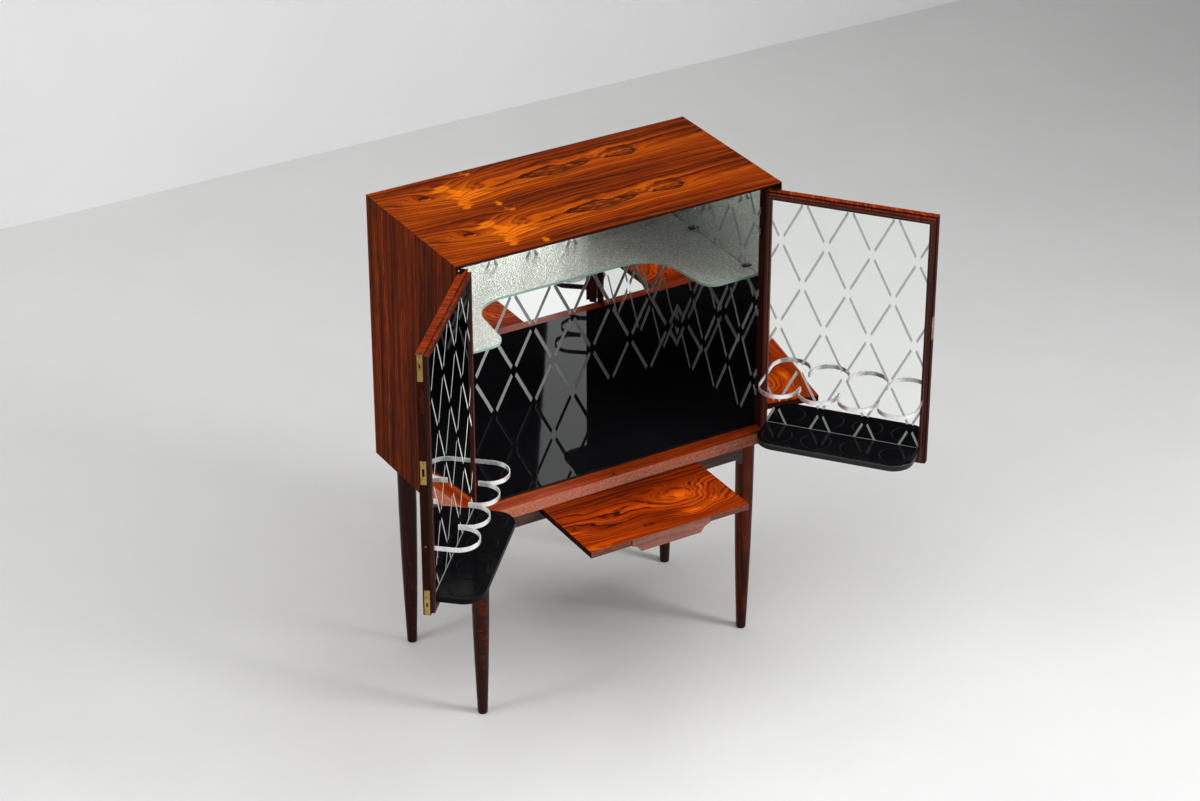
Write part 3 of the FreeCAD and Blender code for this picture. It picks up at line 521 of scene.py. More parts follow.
def etched_mirror(name, lattice, width, tint, across, centre, base, height, turn=None):
    """Silvered glass with a frosted diamond lattice whose lines stop short of each crossing."""
    r = Recipe(name)
    place = r.space(turn)
    parts = r.split(place)
    a = r.maths("DIVIDE", r.difference(parts["xyz".index(across)], centre), lattice.diamond_width)
    b = r.maths("DIVIDE", r.difference(parts[2], base), height)
    distances = []
    for operation in ("ADD", "SUBTRACT"):
        whole = r.maths("FRACT", r.total(r.maths(operation, a, b), WHOLE_DIAMONDS))
        distances.append(r.maths("ABSOLUTE", r.difference(whole, 0.5)))
    wobble = r.product(r.difference(r.noise(place, scale=WOBBLE_SCALE), 0.5), WOBBLE_REACH)
    edge = width / 2.0 * math.hypot(1.0 / lattice.diamond_width, 1.0 / height)
    stop = lattice.crossing_gap / (math.hypot(lattice.diamond_width, height) / 2.0)
    marks = []
    for near, other in (distances, distances[::-1]):
        bar = r.spread(r.total(near, wobble), *times(LINE_EDGE_SHARES, edge), 1.0, 0.0)
        marks.append(r.product(bar, r.spread(r.total(other, wobble), *times(CROSSING_SHARES, stop))))
    mark = r.maths("MAXIMUM", *marks)
    frost = r.noise(place, scale=FROST_SCALE, detail=ROUGH_DETAIL)
    haze = r.noise(place, scale=MIRROR_HAZE_SCALE, detail=ROUGH_DETAIL)
    etched = r.mix(frost, times(tint, FROST_DARK_SHARE), tuple(tint))
    r.set(Base_Color=r.mix(mark, r.mix(haze, *MIRROR_TONES), etched),
          Metallic=r.spread(mark, 0.0, 1.0, 1.0, ETCHED_METALLIC),
          Roughness=r.total(r.product(mark, ETCHED_ROUGHNESS), r.spread(haze, *HAZE_RANGE, *MIRROR_GLOSS)))
    r.bump(r.product(mark, r.difference(frost, FROST_HEIGHT)), strength=0.25, distance=0.0003)
    return r.material


LACQUER_TONES = ((0.002, 0.002, 0.0025), (0.005, 0.005, 0.006))
GROOVE_TONE = (0.009, 0.0095, 0.0105)
GROOVE_DEPTHS = (0.0006, 0.0001)
GROOVE_ROUGHNESS = 0.22
BACK_LINE_TONE = (0.2, 0.21, 0.2)
BACK_LINE_WIDTHS = (0.001, 0.0014)
HAZE_ROUGHNESS_SHARE = 1.6


def black_gloss(name, roughness, gleam, top, turn=None, back=None):
    """Black glossy lacquer with faint haze, and a duller cut surface in the grooves below its top.

    back is where a grey line runs along the edge that meets a mirror.
    """
    r = Recipe(name)
    place = r.space(turn)
    haze = r.noise(place, scale=5.0, detail=4.0)
    parts = r.split(place)
    cut = r.spread(parts[2], top - GROOVE_DEPTHS[0], top - GROOVE_DEPTHS[1], 1.0, 0.0)
    body = r.mix(cut, r.mix(haze, *LACQUER_TONES), GROOVE_TONE)
    if back is not None:
        line = r.spread(parts[1], back + BACK_LINE_WIDTHS[0], back + BACK_LINE_WIDTHS[1], 1.0, 0.0)
        body = r.mix(line, body, BACK_LINE_TONE)
    r.set(Base_Color=body, IOR=gleam,
          Roughness=r.total(r.spread(haze, *HAZE_RANGE, roughness, roughness * HAZE_ROUGHNESS_SHARE),
                            r.product(cut, GROOVE_ROUGHNESS)))
    r.bump(haze, strength=0.02, distance=0.002)
    return r.material


BRUSH_SCALES = (300.0, 300.0, 300.0)
STRIP_BRUSH_SCALES = (120.0, 120.0, 1800.0)
BRUSH_RANGE = (0.3, 0.7)
BRUSH_SHARES = (0.75, 1.2)
TARNISH_SCALE = 70.0
TARNISH_RANGE = (0.45, 0.75)
TARNISH_SHARE = 0.7
TARNISH_ROUGHNESS = 0.1


def metal(name, light, dark, roughness, grain=BRUSH_SCALES, metallic=1.0):
    """Metal with fine brush marks and slight tarnish."""
    r = Recipe(name)
    place = r.space()
    brush = r.noise(r.scaled(place, grain))
    tarnish = r.spread(r.noise(place, scale=TARNISH_SCALE, detail=4.0), *TARNISH_RANGE)
    r.set(Base_Color=r.mix(r.product(tarnish, TARNISH_SHARE), light, dark), Metallic=metallic,
          Roughness=r.total(r.spread(brush, *BRUSH_RANGE, *times(BRUSH_SHARES, roughness)),
                            r.product(tarnish, TARNISH_ROUGHNESS)))
    r.bump(brush, strength=0.06, distance=0.0003)
    return r.material


DIMPLE_SCALE = 330.0
DIMPLE_SMOOTHNESS = 0.5
DIMPLE_RANGE = (0.55, 1.0)
GLASS_RIPPLE_SCALE = 180.0
GLASS_RIPPLE_SHARE = 0.8
FLAT_EDGE = (0.4, 0.8)
# Painted light: pale face tones, lighter on the dimples, stand in for light seen through and off the glass
GLASS_TONES = ((1.0, 1.0, 0.96), (0.5, 0.54, 0.46))
GLASS_EDGE_TONE = (0.2, 0.34, 0.28)
GLASS_ROUGHNESS = (0.25, 0.2)
GLASS_METALLIC = 0.4
GLASS_CLEAR_SHARE = 0.15
GLASS_IOR = 1.5


def hammered_glass(name):
    """Clear glass with a finely hammered face and green edges, given a pale face whose tones follow the
    dimples: painted light.
    """
    r = Recipe(name)
    place = r.space()
    cells = r.node("TexVoronoi", feature="SMOOTH_F1")
    cells.inputs["Scale"].default_value = DIMPLE_SCALE
    cells.inputs["Smoothness"].default_value = DIMPLE_SMOOTHNESS
    r.put(cells.inputs["Vector"], place)
    ripples = r.noise(place, scale=GLASS_RIPPLE_SCALE, detail=ROUGH_DETAIL)
    dimples = r.total(cells.outputs["Distance"], r.product(ripples, GLASS_RIPPLE_SHARE))
    flat = r.spread(r.maths("ABSOLUTE", r.faces("+z")), *FLAT_EDGE)
    face = r.mix(r.spread(dimples, *DIMPLE_RANGE), *GLASS_TONES)
    r.set(Base_Color=r.mix(flat, GLASS_EDGE_TONE, face),
          Roughness=r.spread(flat, 0.0, 1.0, *GLASS_ROUGHNESS),
          Metallic=r.spread(flat, 0.0, 1.0, 0.0, GLASS_METALLIC),
          Transmission_Weight=GLASS_CLEAR_SHARE, IOR=GLASS_IOR)
    r.bump(r.product(dimples, flat), strength=1.0, distance=0.0012)
    return r.material


# Figure of the leaves, and a band of painted shade on the board: place along, place across, half length,
# half width and weight

TOP_FLAMES = (
    (-0.232, 0.085, 0.026, 0.022, 1.0), (-0.25, 0.045, 0.012, 0.02, 0.9),
    (-0.255, 0.148, 0.026, 0.014, 0.95), (-0.238, 0.118, 0.014, 0.022, 0.8),
    (-0.178, 0.19, 0.014, 0.012, 0.9), (-0.18, 0.02, 0.014, 0.01, 0.9),
    (-0.18, 0.1, 0.04, 0.01, 0.75), (-0.2, 0.075, 0.03, 0.009, 0.7),
)
TOP_EYES = (
    (0.02, 0.108, 0.095, 0.019, 0.9), (0.187, 0.106, 0.03, 0.011, 0.75),
    (-0.31, 0.125, 0.02, 0.01, 0.5),
)
TOP_SWELLS = (
    (-0.235, 0.085, 0.055, 0.036, 3.2), (-0.315, 0.115, 0.055, 0.03, 3.4),
    (-0.25, 0.155, 0.035, 0.02, 2.0), (0.02, 0.108, 0.11, 0.022, 2.4),
    (0.187, 0.106, 0.04, 0.014, 1.8), (-0.178, 0.19, 0.022, 0.014, 1.6),
    (-0.18, 0.02, 0.02, 0.012, 1.6), (-0.12, 0.095, 0.09, 0.02, 1.6),
)
TOP_BANDS = (
    (0.02, 0.108, 0.17, 0.035, 0.24), (0.24, 0.1, 0.12, 0.03, 0.14),
    (-0.2, 0.1, 0.16, 0.06, 0.22), (0.1, 0.0, 0.5, 0.045, -0.2),
    (0.1, 0.207, 0.5, 0.04, -0.2), (-0.35, 0.06, 0.12, 0.06, 0.14),
)
BOARD_FLAMES = (
    (0.101, -0.307, 0.03, 0.02, 0.7), (0.056, -0.291, 0.018, 0.014, 0.55),
    (0.085, -0.372, 0.045, 0.015, 0.62), (0.15, -0.352, 0.03, 0.012, 0.5),
    (-0.19, -0.405, 0.06, 0.01, 0.55), (-0.2, -0.33, 0.05, 0.01, 0.5),
)
BOARD_EYES = (
    (-0.046, -0.29, 0.024, 0.007, 0.6), (-0.101, -0.338, 0.02, 0.006, 0.55),
    (-0.032, -0.379, 0.024, 0.007, 0.6),
)
BOARD_SWELLS = (
    (0.101, -0.307, 0.05, 0.042, 6.0), (0.045, -0.288, 0.03, 0.02, 2.4),
    (0.085, -0.378, 0.07, 0.04, 4.6), (-0.11, -0.345, 0.17, 0.05, 5.2),
    (0.19, -0.3, 0.06, 0.03, -2.2), (0.05, -0.25, 0.06, 0.03, -1.8),
    (0.18, -0.385, 0.06, 0.03, 1.6),
)
BOARD_BANDS_AND_SHADE = (
    (0.1, -0.3, 0.06, 0.05, 0.26), (0.12, -0.38, 0.1, 0.03, 0.24),
    (-0.15, -0.385, 0.12, 0.04, 0.18), (-0.12, -0.3, 0.1, 0.03, 0.08),
    # The long dark band along the board's rear is painted shade, where the case's shadow falls on the board
    (-0.02, -0.22, 0.3, 0.04, -0.24), (0.04, -0.25, 0.06, 0.03, -0.15),
    (0.01, -0.36, 0.04, 0.02, -0.2),
)


# Finishes

def done(label):
    """Says in the console which step is done."""
    print("done:", label)
    return {"FINISHED"}


class CABINET_OT_case_veneer(bpy.types.Operator):
    """Veneers the case, its nose edges and its back"""
    bl_idname = "cabinet.case_veneer"
    bl_label = "Case veneer"

    def execute(self, context):
        veneer = context.scene.cabinet_veneer
        # Painted shade on the top's and sides' faces other than their outer ones; painted sheen on the
        # bottom's fronts
        give(rosewood("top_veneer", veneer, shift=CASE_SHIFT, leaf=LEAF_WIDTH, flames=TOP_FLAMES,
                      eyes=TOP_EYES, bands=TOP_BANDS, swells=TOP_SWELLS, seed=3.1, sway=0.8, lines=0.8,
                      streaks=0.7, grain=9.0, tone=0.02, facing=("+z", 0.0, -0.6)), "case_top")
        give(rosewood("bottom_veneer", veneer, shift=CASE_SHIFT, seed=8.2, spacing=0.5, red=0.2,
                      curl=0.04, pale=0.55, gleam=1.15), "case_bottom")
        for side, seed, outward in (("left", 5.4, "-x"), ("right", 6.9, "+x")):
            give(rosewood(side + "_side_veneer", veneer, order="zyx", shift=CASE_SHIFT, seed=seed,
                          spacing=0.55, sway=1.6, lines=1.0, streaks=0.95, grain=16.0, tone=-0.18,
                          facing=(outward, 0.0, -0.9)), "case_" + side + "_side")
        give(rosewood("back_veneer", veneer, order="zxy", seed=12.0, spacing=0.9, tone=-0.12, gloss=0.55),
             "case_back")
        return done(self.bl_label)


class CABINET_OT_door_veneer(bpy.types.Operator):
    """Veneers the doors and their planted frames"""
    bl_idname = "cabinet.door_veneer"
    bl_label = "Door veneer"

    def execute(self, context):
        veneer = context.scene.cabinet_veneer
        for (side, turn), seed in zip(DOORS, (1.7, 2.9)):
            slab = side + "_door_slab"
            # Painted light: the upper faces of each slab and rim are made lighter, as light from above falls
            # on them
            give(rosewood(side + "_door_veneer", veneer, turn, "zxy", seed=seed, spacing=0.7, tone=-0.58,
                          red=0.3, dull_and_shade=0.2, lines=0.7, facing=("+z", 0.66, 0.0),
                          skin=(shut_box(slab, turn)[0].y, 0.42)), slab)
            give(rosewood(side + "_rim_wood", veneer, turn, "zxy", seed=seed + 0.6, spacing=0.5, tone=-0.5,
                          red=0.3, dull_and_shade=0.2, sway=0.3, facing=("+z", 0.4, 0.0), gleam=1.25),
                 side + "_door_rim")
        return done(self.bl_label)


class CABINET_OT_base_wood(bpy.types.Operator):
    """Finishes the legs, the rails and the runners"""
    bl_idname = "cabinet.base_wood"
    bl_label = "Base wood"

    def execute(self, context):
        veneer = context.scene.cabinet_veneer
        # Painted shade: the left legs' lower tones stand in for the open left door's shadow; the rear right
        # is darkest
        legs = (("leg_front_left", 9.3, -0.66, 0.2, 0.15), ("leg_rear_left", 2.2, -0.58, 0.05, 0.05),
                ("leg_front_right", 5.8, -0.24, 0.03, 0.0), ("leg_rear_right", 7.1, -0.8, 0.03, 0.3))
        for name, seed, tone, curl, dull_and_shade in legs:
            give(rosewood(name + "_wood", veneer, order="zyx", seed=seed, spacing=0.6, tone=tone, red=0.1,
                          sway=0.3, curl=curl, dull_and_shade=dull_and_shade, gleam=1.18), name)
        # Painted shade: low tones and heavy dulling stand in for the shadow that the case casts on the rails
        give(rosewood("long_rail_wood", veneer, seed=4.4, spacing=0.6, tone=-0.3, sway=0.3,
                      dull_and_shade=0.7, gleam=1.3), "front_rail", "rear_rail")
        give(rosewood("short_rail_wood", veneer, order="yxz", seed=4.9, spacing=0.6, tone=-0.45, sway=0.3,
                      dull_and_shade=0.8, gleam=1.3), "left_rail", "right_rail")
        give(rosewood("runner_wood", veneer, order="yxz", seed=7.7, tone=0.1, lines=0.2, gloss=0.6),
             "left_runner", "right_runner", "board_stop")
        return done(self.bl_label)


class CABINET_OT_serving_board(bpy.types.Operator):
    """Veneers the serving board with its figured leaf, and finishes its pull"""
    bl_idname = "cabinet.serving_board"
    bl_label = "Serving board"

    def execute(self, context):
        veneer = context.scene.cabinet_veneer
        # Painted shade on the board's faces other than its top, painted sheen on its front faces
        give(rosewood("board_veneer", veneer, shift=CASE_SHIFT, seed=0.4, flames=BOARD_FLAMES,
                      eyes=BOARD_EYES, bands=BOARD_BANDS_AND_SHADE, swells=BOARD_SWELLS, sway=0.9, spacing=0.8,
                      lines=1.4, tone=-0.01, red=0.3, facing=("+z", 0.0, -0.8), pale=0.5), "serving_board")
        give(rosewood("pull_wood", veneer, shift=CASE_SHIFT, seed=10.4, spacing=0.6, sway=0.4, tone=-0.02,
                      curl=0.08, dull_and_shade=0.25, gleam=1.75), "board_pull")
        return done(self.bl_label)


DOOR_LATTICE_MIDDLE = 0.19675
DOOR_LATTICE_RISE = 0.209
BACK_LATTICE_MIDDLE = -0.003
BACK_LATTICE_RISE = 0.0205
SIDE_LATTICE_RISE = 0.0255


class CABINET_OT_mirrors(bpy.types.Operator):
    """Silvers the mirrors and etches the diamond lattice on them"""
    bl_idname = "cabinet.mirrors"
    bl_label = "Etched mirrors"

    def execute(self, context):
        lattice = context.scene.cabinet_lattice
        base = CASE_LOW[2]
        for (side, turn), middle in zip(DOORS, (-DOOR_LATTICE_MIDDLE, DOOR_LATTICE_MIDDLE)):
            give(etched_mirror(side + "_door_glass", lattice, lattice.door_line_width, lattice.door_tint,
                               "x", middle, base + DOOR_LATTICE_RISE, lattice.door_diamond_height, turn),
                 side + "_door_mirror")
        low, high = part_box("left_side_mirror")
        # The walls' lattice takes the darker etched tint, painted shade of the inside of the case
        for name, across, middle, rise, mirrors in (
                ("back_wall_glass", "x", BACK_LATTICE_MIDDLE, BACK_LATTICE_RISE, ("back_mirror",)),
                ("side_wall_glass", "y", (low[1] + high[1]) / 2.0, SIDE_LATTICE_RISE,
                 ("left_side_mirror", "right_side_mirror"))):
            give(etched_mirror(name, lattice, lattice.line_width, lattice.tint, across, middle, base + rise,
                               lattice.wall_diamond_height), *mirrors)
        return done(self.bl_label)


class CABINET_OT_lacquer_and_glass(bpy.types.Operator):
    """Finishes the black floor, the trays and the glass shelf"""
    bl_idname = "cabinet.lacquer_and_glass"
    bl_label = "Black lacquer and glass"

    def execute(self, context):
        give(black_gloss("floor_lacquer", roughness=0.02, gleam=1.065, top=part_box("floor_panel")[1][2]),
             "floor_panel")
        for (side, turn), gleam in zip(DOORS, (1.1, 1.35)):
            tray = side + "_door_tray"
            give(black_gloss(side + "_tray_lacquer", roughness=0.1, gleam=gleam, top=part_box(tray)[1][2],
                             turn=turn, back=shut_box(tray, turn)[0].y), tray)
        give(hammered_glass("shelf_glass"), "glass_shelf")
        return done(self.bl_label)


class CABINET_OT_metalwork(bpy.types.Operator):
    """Finishes the bands, hinges, bolts, plates and clips"""
    bl_idname = "cabinet.metalwork"
    bl_label = "Metalwork"

    def execute(self, context):
        give(metal("bright_strip", (0.9, 0.9, 0.89), (0.7, 0.7, 0.7), 0.32, STRIP_BRUSH_SCALES, 0.8),
             "left_door_band", "right_door_band")
        give(metal("brass", (0.46, 0.3, 0.09), (0.14, 0.08, 0.025), 0.28), "upper_bolt_plate",
             "lower_bolt_plate", "strike_plate", "lock_plate", "keyhole_escutcheon", "upper_bolt",
             "lower_bolt")
        give(metal("hidden_brass", (0.2, 0.13, 0.06), (0.07, 0.05, 0.03), 0.4), "bolt_keepers",
             "meeting_button", *[name for name in NODES if "hinge_leaves" in name])
        give(metal("lock_steel", (0.6, 0.6, 0.6), (0.3, 0.3, 0.3), 0.3), "lock_case", "lock_bolt")
        give(metal("clip_metal", (0.09, 0.09, 0.09), (0.03, 0.03, 0.03), 0.35), "shelf_clips")
        return done(self.bl_label)


# New pieces

def piece_from(shape, name, material):
    """Makes an object of a shape at the origin and gives it its material."""
    mesh = bpy.data.meshes.new(name)
    shape.to_mesh(mesh)
    shape.free()
    mesh.materials.append(material)
    piece = bpy.data.objects.new(name, mesh)
    bpy.context.collection.objects.link(piece)
    return piece


BEAD_INSET = 0.005
BEAD_WIDTH = 0.0024
BEAD_DEPTH = 0.0012
BEAD_PROUD_SHARE = 0.5
BEAD_ROUND_SHARE = 0.4
SHARP_TURN = 1.0


class CABINET_OT_rim_beads(bpy.types.Operator):
    """Runs a fine bead around each door's planted frame"""
    bl_idname = "cabinet.rim_beads"
    bl_label = "Rim beads"

    def bead(self, low, high, turn):
        """A flat ring that lies on the frame, with its outer arrises rounded."""
        shape = bmesh.new()
        bmesh.ops.create_grid(shape, x_segments=1, y_segments=1, size=0.5)
        size = (high.x - low.x - 2.0 * BEAD_INSET, high.z - low.z - 2.0 * BEAD_INSET, 1.0)
        bmesh.ops.scale(shape, vec=size, verts=shape.verts)
        ring = bmesh.ops.inset_region(shape, faces=list(shape.faces), thickness=BEAD_WIDTH,
                                      use_boundary=True, use_even_offset=True)["faces"]
        bmesh.ops.delete(shape, geom=[face for face in shape.faces if face not in ring], context="FACES")
        bmesh.ops.solidify(shape, geom=list(shape.faces), thickness=BEAD_DEPTH)
        crest = max(vertex.co.z for vertex in shape.verts)
        arrises = [edge for edge in shape.edges
                   if edge.is_manifold and edge.calc_face_angle() > SHARP_TURN
                   and min(vertex.co.z for vertex in edge.verts) > crest - BEAD_DEPTH / 2.0]
        bmesh.ops.translate(shape, vec=(0.0, 0.0, BEAD_DEPTH * BEAD_PROUD_SHARE - crest), verts=shape.verts)
        bmesh.ops.bevel(shape, geom=arrises, offset=BEAD_DEPTH * BEAD_ROUND_SHARE, segments=2, profile=0.5,
                        affect="EDGES", material=-1)
        middle = Vector(((low.x + high.x) / 2.0, high.y, (low.z + high.z) / 2.0))
        upright = Matrix.Rotation(math.radians(-90.0), 4, "X")
        bmesh.ops.transform(shape, matrix=opening(turn) @ Matrix.Translation(middle) @ upright,
                            verts=shape.verts)
        bmesh.ops.recalc_face_normals(shape, faces=shape.faces)
        return shape

    def execute(self, context):
        veneer = context.scene.cabinet_veneer
        for side, turn in DOORS:
            material = rosewood(side + "_bead_wood", veneer, turn, "zxy", seed=3.3, spacing=0.5, tone=-0.2,
                                red=0.3, dull_and_shade=0.2, sway=0.3, lines=0.4, gleam=1.4)
            shape = self.bead(*shut_box(side + "_door_rim", turn), turn)
            piece = piece_from(shape, side + "_rim_bead", material)
            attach(piece, side + "_door")
        return done(self.bl_label)


HEAD_RADIUS = 0.0024
HEAD_CHAMFER_SHARE = 0.86
HEAD_PROUD = 0.0003
SLOT_WIDTH = 0.0006
SLOT_DEPTH = 0.00035
HEAD_SIDES = 24
END_TO_SCREW = 0.0055
SLOT_TURNS = (20.0, 75.0, 140.0, 10.0, 105.0)
BACK_PLACE_SHARES = ((0.02, 0.025), (0.26, 0.025), (0.5, 0.025), (0.74, 0.025), (0.98, 0.025), (0.02, 0.34),
                     (0.98, 0.34), (0.02, 0.66), (0.98, 0.66), (0.02, 0.975), (0.26, 0.975), (0.5, 0.975),
                     (0.74, 0.975), (0.98, 0.975))
EDGE_PLATES = (
    ("upper_bolt_plate", "left_door", LEFT_SHUT, 1.0), ("lower_bolt_plate", "left_door", LEFT_SHUT, 1.0),
    ("strike_plate", "left_door", LEFT_SHUT, 1.0), ("lock_plate", "right_door", RIGHT_SHUT, -1.0),
)


class CABINET_OT_screws(bpy.types.Operator):
    """Sets slotted screws in the plates on the doors' edges and in the back panel"""
    bl_idname = "cabinet.screws"
    bl_label = "Screws"

    def half(self, side):
        """One half of a head, on one side of its slot."""
        shape = bmesh.new()
        bmesh.ops.create_cone(shape, cap_ends=True, segments=HEAD_SIDES, radius1=HEAD_RADIUS,
                              radius2=HEAD_RADIUS * HEAD_CHAMFER_SHARE, depth=HEAD_PROUD * 2.0)
        bmesh.ops.bisect_plane(shape, geom=list(shape.verts) + list(shape.edges) + list(shape.faces),
                               plane_co=(0.0, side * SLOT_WIDTH / 2.0, 0.0), plane_no=(0.0, side, 0.0),
                               clear_inner=True)
        bmesh.ops.holes_fill(shape, edges=shape.edges)
        return shape

    def floor(self):
        """The bottom of the slot."""
        shape = bmesh.new()
        radius = HEAD_RADIUS * HEAD_CHAMFER_SHARE
        bmesh.ops.create_cone(shape, cap_ends=True, segments=HEAD_SIDES, radius1=radius, radius2=radius,
                              depth=SLOT_DEPTH)
        bmesh.ops.translate(shape, vec=(0.0, 0.0, HEAD_PROUD - SLOT_DEPTH * 1.5), verts=shape.verts)
        return shape

    def join(self, into, shape, matrix):
        """Puts a shape in its place and adds it to another one."""
        bmesh.ops.transform(shape, matrix=matrix, verts=shape.verts)
        bmesh.ops.recalc_face_normals(shape, faces=shape.faces)
        spare = bpy.data.meshes.new("spare")
        shape.to_mesh(spare)
        shape.free()
        into.from_mesh(spare)
        bpy.data.meshes.remove(spare)

    def heads(self, places, outward, swing):
        """A head at each place; places and outward are given with the doors shut, and swing opens them."""
        joined = bmesh.new()
        facing = Vector((0.0, 0.0, 1.0)).rotation_difference(Vector(outward)).to_matrix().to_4x4()
        for index, place in enumerate(places):
            slot_turn = Matrix.Rotation(math.radians(SLOT_TURNS[index % len(SLOT_TURNS)]), 4, "Z")
            matrix = swing @ Matrix.Translation(place) @ facing @ slot_turn
            for shape in (self.half(1.0), self.half(-1.0), self.floor()):
                self.join(joined, shape, matrix)
        return joined

    def execute(self, context):
        screw_brass = metal("screw_brass", (0.42, 0.27, 0.1), (0.12, 0.08, 0.03), 0.32)
        for plate, body, turn, outward in EDGE_PLATES:
            low, high = shut_box(plate, turn)
            face = high.x if outward > 0.0 else low.x
            middle = (low.y + high.y) / 2.0
            places = [(face, middle, low.z + END_TO_SCREW), (face, middle, high.z - END_TO_SCREW)]
            shape = self.heads(places, (outward, 0.0, 0.0), opening(turn))
            piece = piece_from(shape, plate + "_screws", screw_brass)
            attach(piece, body)
        low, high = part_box("case_back")
        places = [(low[0] + (high[0] - low[0]) * across, high[1], low[2] + (high[2] - low[2]) * up)
                  for across, up in BACK_PLACE_SHARES]
        screw_steel = metal("screw_steel", (0.5, 0.5, 0.5), (0.25, 0.25, 0.25), 0.35)
        piece = piece_from(self.heads(places, (0.0, 1.0, 0.0), Matrix.Identity(4)), "back_panel_screws",
                           screw_steel)
        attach(piece, "cabinet")
        return done(self.bl_label)


# Stage, with places in the part's own frame

SHEET_HALF = 14.0
WALL_HALF_HEIGHT = 1.3
PATCH_RANGE = (0.35, 0.7)
PATCH_SHARE = 0.97
SPECK_SHARE = 0.06
SPECK_TONE = (0.4, 0.4, 0.4)
SHEET_ROUGHNESS = 0.62
SHEET_SPECULAR = 0.3
ROOM_LIGHT_FROM = (0.0, 0.0, 1.0)
ROOM_LIGHT_EDGE = (0.56, 0.8)
KEY_SIZE = (5.0, 5.0)
KEY_PLACE = (-0.6, -1.6, 4.2)
WALL_LIGHT_SHARE = 0.2
WALL_LIGHT_SIZE = (1.0, 1.0)
WALL_LIGHT_PLACE = (-2.5, 0.2, 3.2)
WALL_LIGHT_TARGET = (-3.0, 2.9, 1.0)
SHELF_LIGHT_SHARES = (0.66, 0.62, -0.14)
SHELF_LIGHT_DROP = 0.019
BOX_SIZE = (1.1, 2.2)
BOX_PLACE = (2.46, -2.83, 2.6)
BOX_TARGET = (0.0, 0.17, 0.7)
INSIDE_LIGHT_SIZE = (0.12, 0.12)
INSIDE_LIGHT_PLACE = (0.05, -0.5, 0.85)
INSIDE_LIGHT_TARGET = (-0.3, 0.18, 0.7)
INSIDE_LIGHT_SPREAD = 60.0
CAMERA_PLACE = (-3.2618, CASE_MIDDLE.y - 5.6127, 4.2306)
CAMERA_TURNS = (30.650, 28.999, -0.070)
CAMERA_SENSOR = 36.0
CAMERA_LENS = 97.551
CAMERA_REACH = 60.0


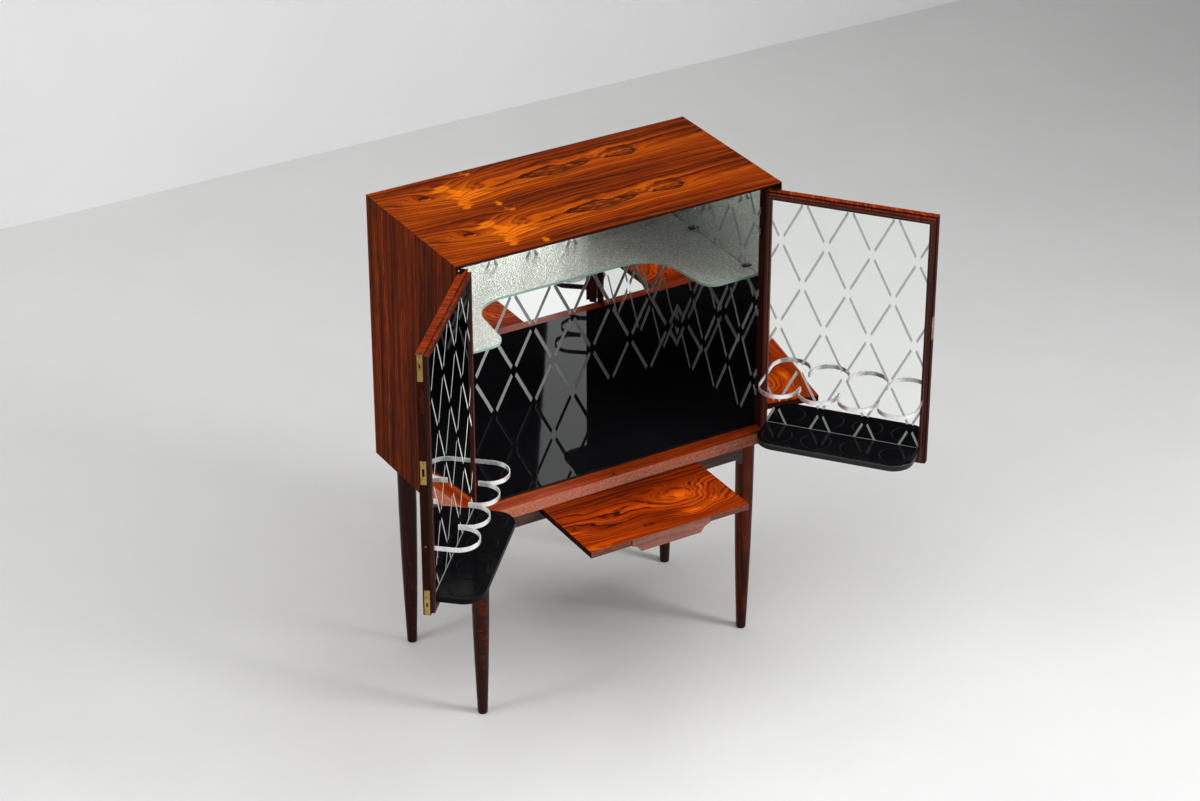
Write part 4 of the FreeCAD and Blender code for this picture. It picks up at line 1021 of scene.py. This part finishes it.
class CABINET_OT_stage(bpy.types.Operator):
    """Lays the floor, stands the wall behind, and sets the light and the camera"""
    bl_idname = "cabinet.stage"
    bl_label = "Stage"

    def sheet(self, name, colour, half_height, place, turn, seen_through=False):
        """A flat sheet; one that is seen through from behind hides nothing from a camera there."""
        r = Recipe(name)
        patches = r.spread(r.noise(r.space(), scale=1.6, detail=5.0, roughness=0.6), *PATCH_RANGE)
        specks = r.noise(r.space(), scale=90.0, detail=ROUGH_DETAIL)
        tint = r.mix(patches, times(colour, PATCH_SHARE), tuple(colour))
        r.set(Base_Color=r.mix(r.product(specks, SPECK_SHARE), tint, SPECK_TONE), Roughness=SHEET_ROUGHNESS,
              Specular_IOR_Level=SHEET_SPECULAR)
        if seen_through:
            r.set(Alpha=r.difference(1.0, r.node("NewGeometry").outputs["Backfacing"]))
        shape = bmesh.new()
        bmesh.ops.create_grid(shape, x_segments=1, y_segments=1, size=SHEET_HALF)
        bmesh.ops.scale(shape, vec=(1.0, half_height / SHEET_HALF, 1.0), verts=shape.verts)
        bmesh.ops.transform(shape, matrix=Matrix.Translation(place) @ Euler(turn).to_matrix().to_4x4(),
                            verts=shape.verts)
        piece = piece_from(shape, name, r.material)

    def lamp(self, name, power, size, place, target=None):
        """A soft rectangular lamp that looks at its target, or straight down."""
        data = bpy.data.lights.new(name, "AREA")
        data.energy = power
        data.shape = "RECTANGLE"
        data.size, data.size_y = size
        lamp = bpy.data.objects.new(name, data)
        lamp.location = place
        if target is not None:
            lamp.rotation_euler = (Vector(target) - Vector(place)).to_track_quat("-Z", "Y").to_euler()
        bpy.context.collection.objects.link(lamp)
        return lamp

    def lamps(self, stage):
        self.lamp("overhead_light", stage.key_power, KEY_SIZE, KEY_PLACE)
        self.lamp("wall_light", stage.key_power * WALL_LIGHT_SHARE, WALL_LIGHT_SIZE, WALL_LIGHT_PLACE,
                  WALL_LIGHT_TARGET)
        low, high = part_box("case_top")
        width, depth = high[0] - low[0], high[1] - low[1]
        share_wide, share_deep, share_aside = SHELF_LIGHT_SHARES
        place = ((low[0] + high[0]) / 2.0 + width * share_aside, (low[1] + high[1]) / 2.0,
                 high[2] - SHELF_LIGHT_DROP)
        self.lamp("shelf_light", stage.shelf_power, (width * share_wide, depth * share_deep), place)
        self.lamp("softbox", stage.box_power, BOX_SIZE, BOX_PLACE, BOX_TARGET)
        inside = self.lamp("inside_light", stage.inside_power, INSIDE_LIGHT_SIZE, INSIDE_LIGHT_PLACE,
                           INSIDE_LIGHT_TARGET)
        inside.data.spread = math.radians(INSIDE_LIGHT_SPREAD)
        inside.visible_camera = False
        inside.visible_glossy = False

    def room(self, scene, stage):
        """Soft light from above and a dark room elsewhere, so that black gloss stays black."""
        world = bpy.data.worlds.new("room")
        world.use_nodes = True
        tree = world.node_tree
        direction = tree.nodes.new("ShaderNodeTexCoord").outputs["Generated"]
        facing = tree.nodes.new("ShaderNodeVectorMath")
        facing.operation = "DOT_PRODUCT"
        facing.inputs[1].default_value = ROOM_LIGHT_FROM
        tree.links.new(direction, facing.inputs[0])
        spread = tree.nodes.new("ShaderNodeMapRange")
        spread.interpolation_type = "SMOOTHSTEP"
        tree.links.new(facing.outputs["Value"], spread.inputs["Value"])
        for name, number in (("From Min", ROOM_LIGHT_EDGE[0]), ("From Max", ROOM_LIGHT_EDGE[1]),
                             ("To Min", stage.room_dark), ("To Max", stage.sky_strength)):
            spread.inputs[name].default_value = number
        tree.links.new(spread.outputs["Result"], tree.nodes["Background"].inputs["Strength"])
        scene.world = world

    def camera(self, scene):
        """The camera of the photograph; its turns are to the right, downwards and about its own line."""
        camera = bpy.data.objects.new("camera", bpy.data.cameras.new("camera"))
        bpy.context.collection.objects.link(camera)
        camera.data.sensor_width = CAMERA_SENSOR
        camera.data.lens = CAMERA_LENS
        camera.data.clip_end = CAMERA_REACH
        yaw, pitch, roll = (math.radians(turn) for turn in CAMERA_TURNS)
        forward = Vector((math.sin(yaw) * math.cos(pitch), math.cos(yaw) * math.cos(pitch),
                          -math.sin(pitch)))
        level = Vector((math.cos(yaw), -math.sin(yaw), 0.0))
        upward = level.cross(forward)
        right = level * math.cos(roll) + upward * math.sin(roll)
        top = upward * math.cos(roll) - level * math.sin(roll)
        turned = Matrix((right, top, -forward)).transposed().to_4x4()
        camera.matrix_world = Matrix.Translation(CAMERA_PLACE) @ turned
        scene.camera = camera

    def execute(self, context):
        scene = context.scene
        stage = scene.cabinet_stage
        self.sheet("floor", stage.floor_tone, SHEET_HALF, ORIGIN, ORIGIN)
        self.sheet("wall", stage.wall_tone, WALL_HALF_HEIGHT, (0.0, stage.wall_place, WALL_HALF_HEIGHT),
                   (math.radians(90.0), 0.0, 0.0), seen_through=True)
        self.room(scene, stage)
        self.lamps(stage)
        self.camera(scene)
        scene.view_settings.view_transform = "Standard"
        return done(self.bl_label)


class CABINET_PT_panel(bpy.types.Panel):
    """Lists the cabinet's finishes in the sidebar"""
    bl_label = "Bar cabinet"
    bl_idname = "CABINET_PT_panel"
    bl_space_type = "VIEW_3D"
    bl_region_type = "UI"
    bl_category = "Cabinet"

    def draw(self, context):
        for group in SETTINGS:
            box = self.layout.box()
            for name in getattr(context.scene, group).__annotations__:
                box.prop(getattr(context.scene, group), name)
        for step in STEPS:
            self.layout.operator(step.bl_idname)


SETTINGS = {"cabinet_veneer": VeneerSettings, "cabinet_lattice": LatticeSettings,
            "cabinet_stage": StageSettings}
STEPS = (CABINET_OT_case_veneer, CABINET_OT_door_veneer, CABINET_OT_base_wood, CABINET_OT_serving_board,
         CABINET_OT_mirrors, CABINET_OT_lacquer_and_glass, CABINET_OT_metalwork, CABINET_OT_rim_beads,
         CABINET_OT_screws, CABINET_OT_stage)
CLASSES = (*SETTINGS.values(), *STEPS, CABINET_PT_panel)


def register():
    for item in CLASSES:
        bpy.utils.register_class(item)
    for name, settings in SETTINGS.items():
        setattr(bpy.types.Scene, name, bpy.props.PointerProperty(type=settings))


def unregister():
    for name in SETTINGS:
        delattr(bpy.types.Scene, name)
    for item in reversed(CLASSES):
        bpy.utils.unregister_class(item)


def main():
    register()
    for step in STEPS:
        area, name = step.bl_idname.split(".")
        getattr(getattr(bpy.ops, area), name)()


if __name__ == "__main__":
    main()
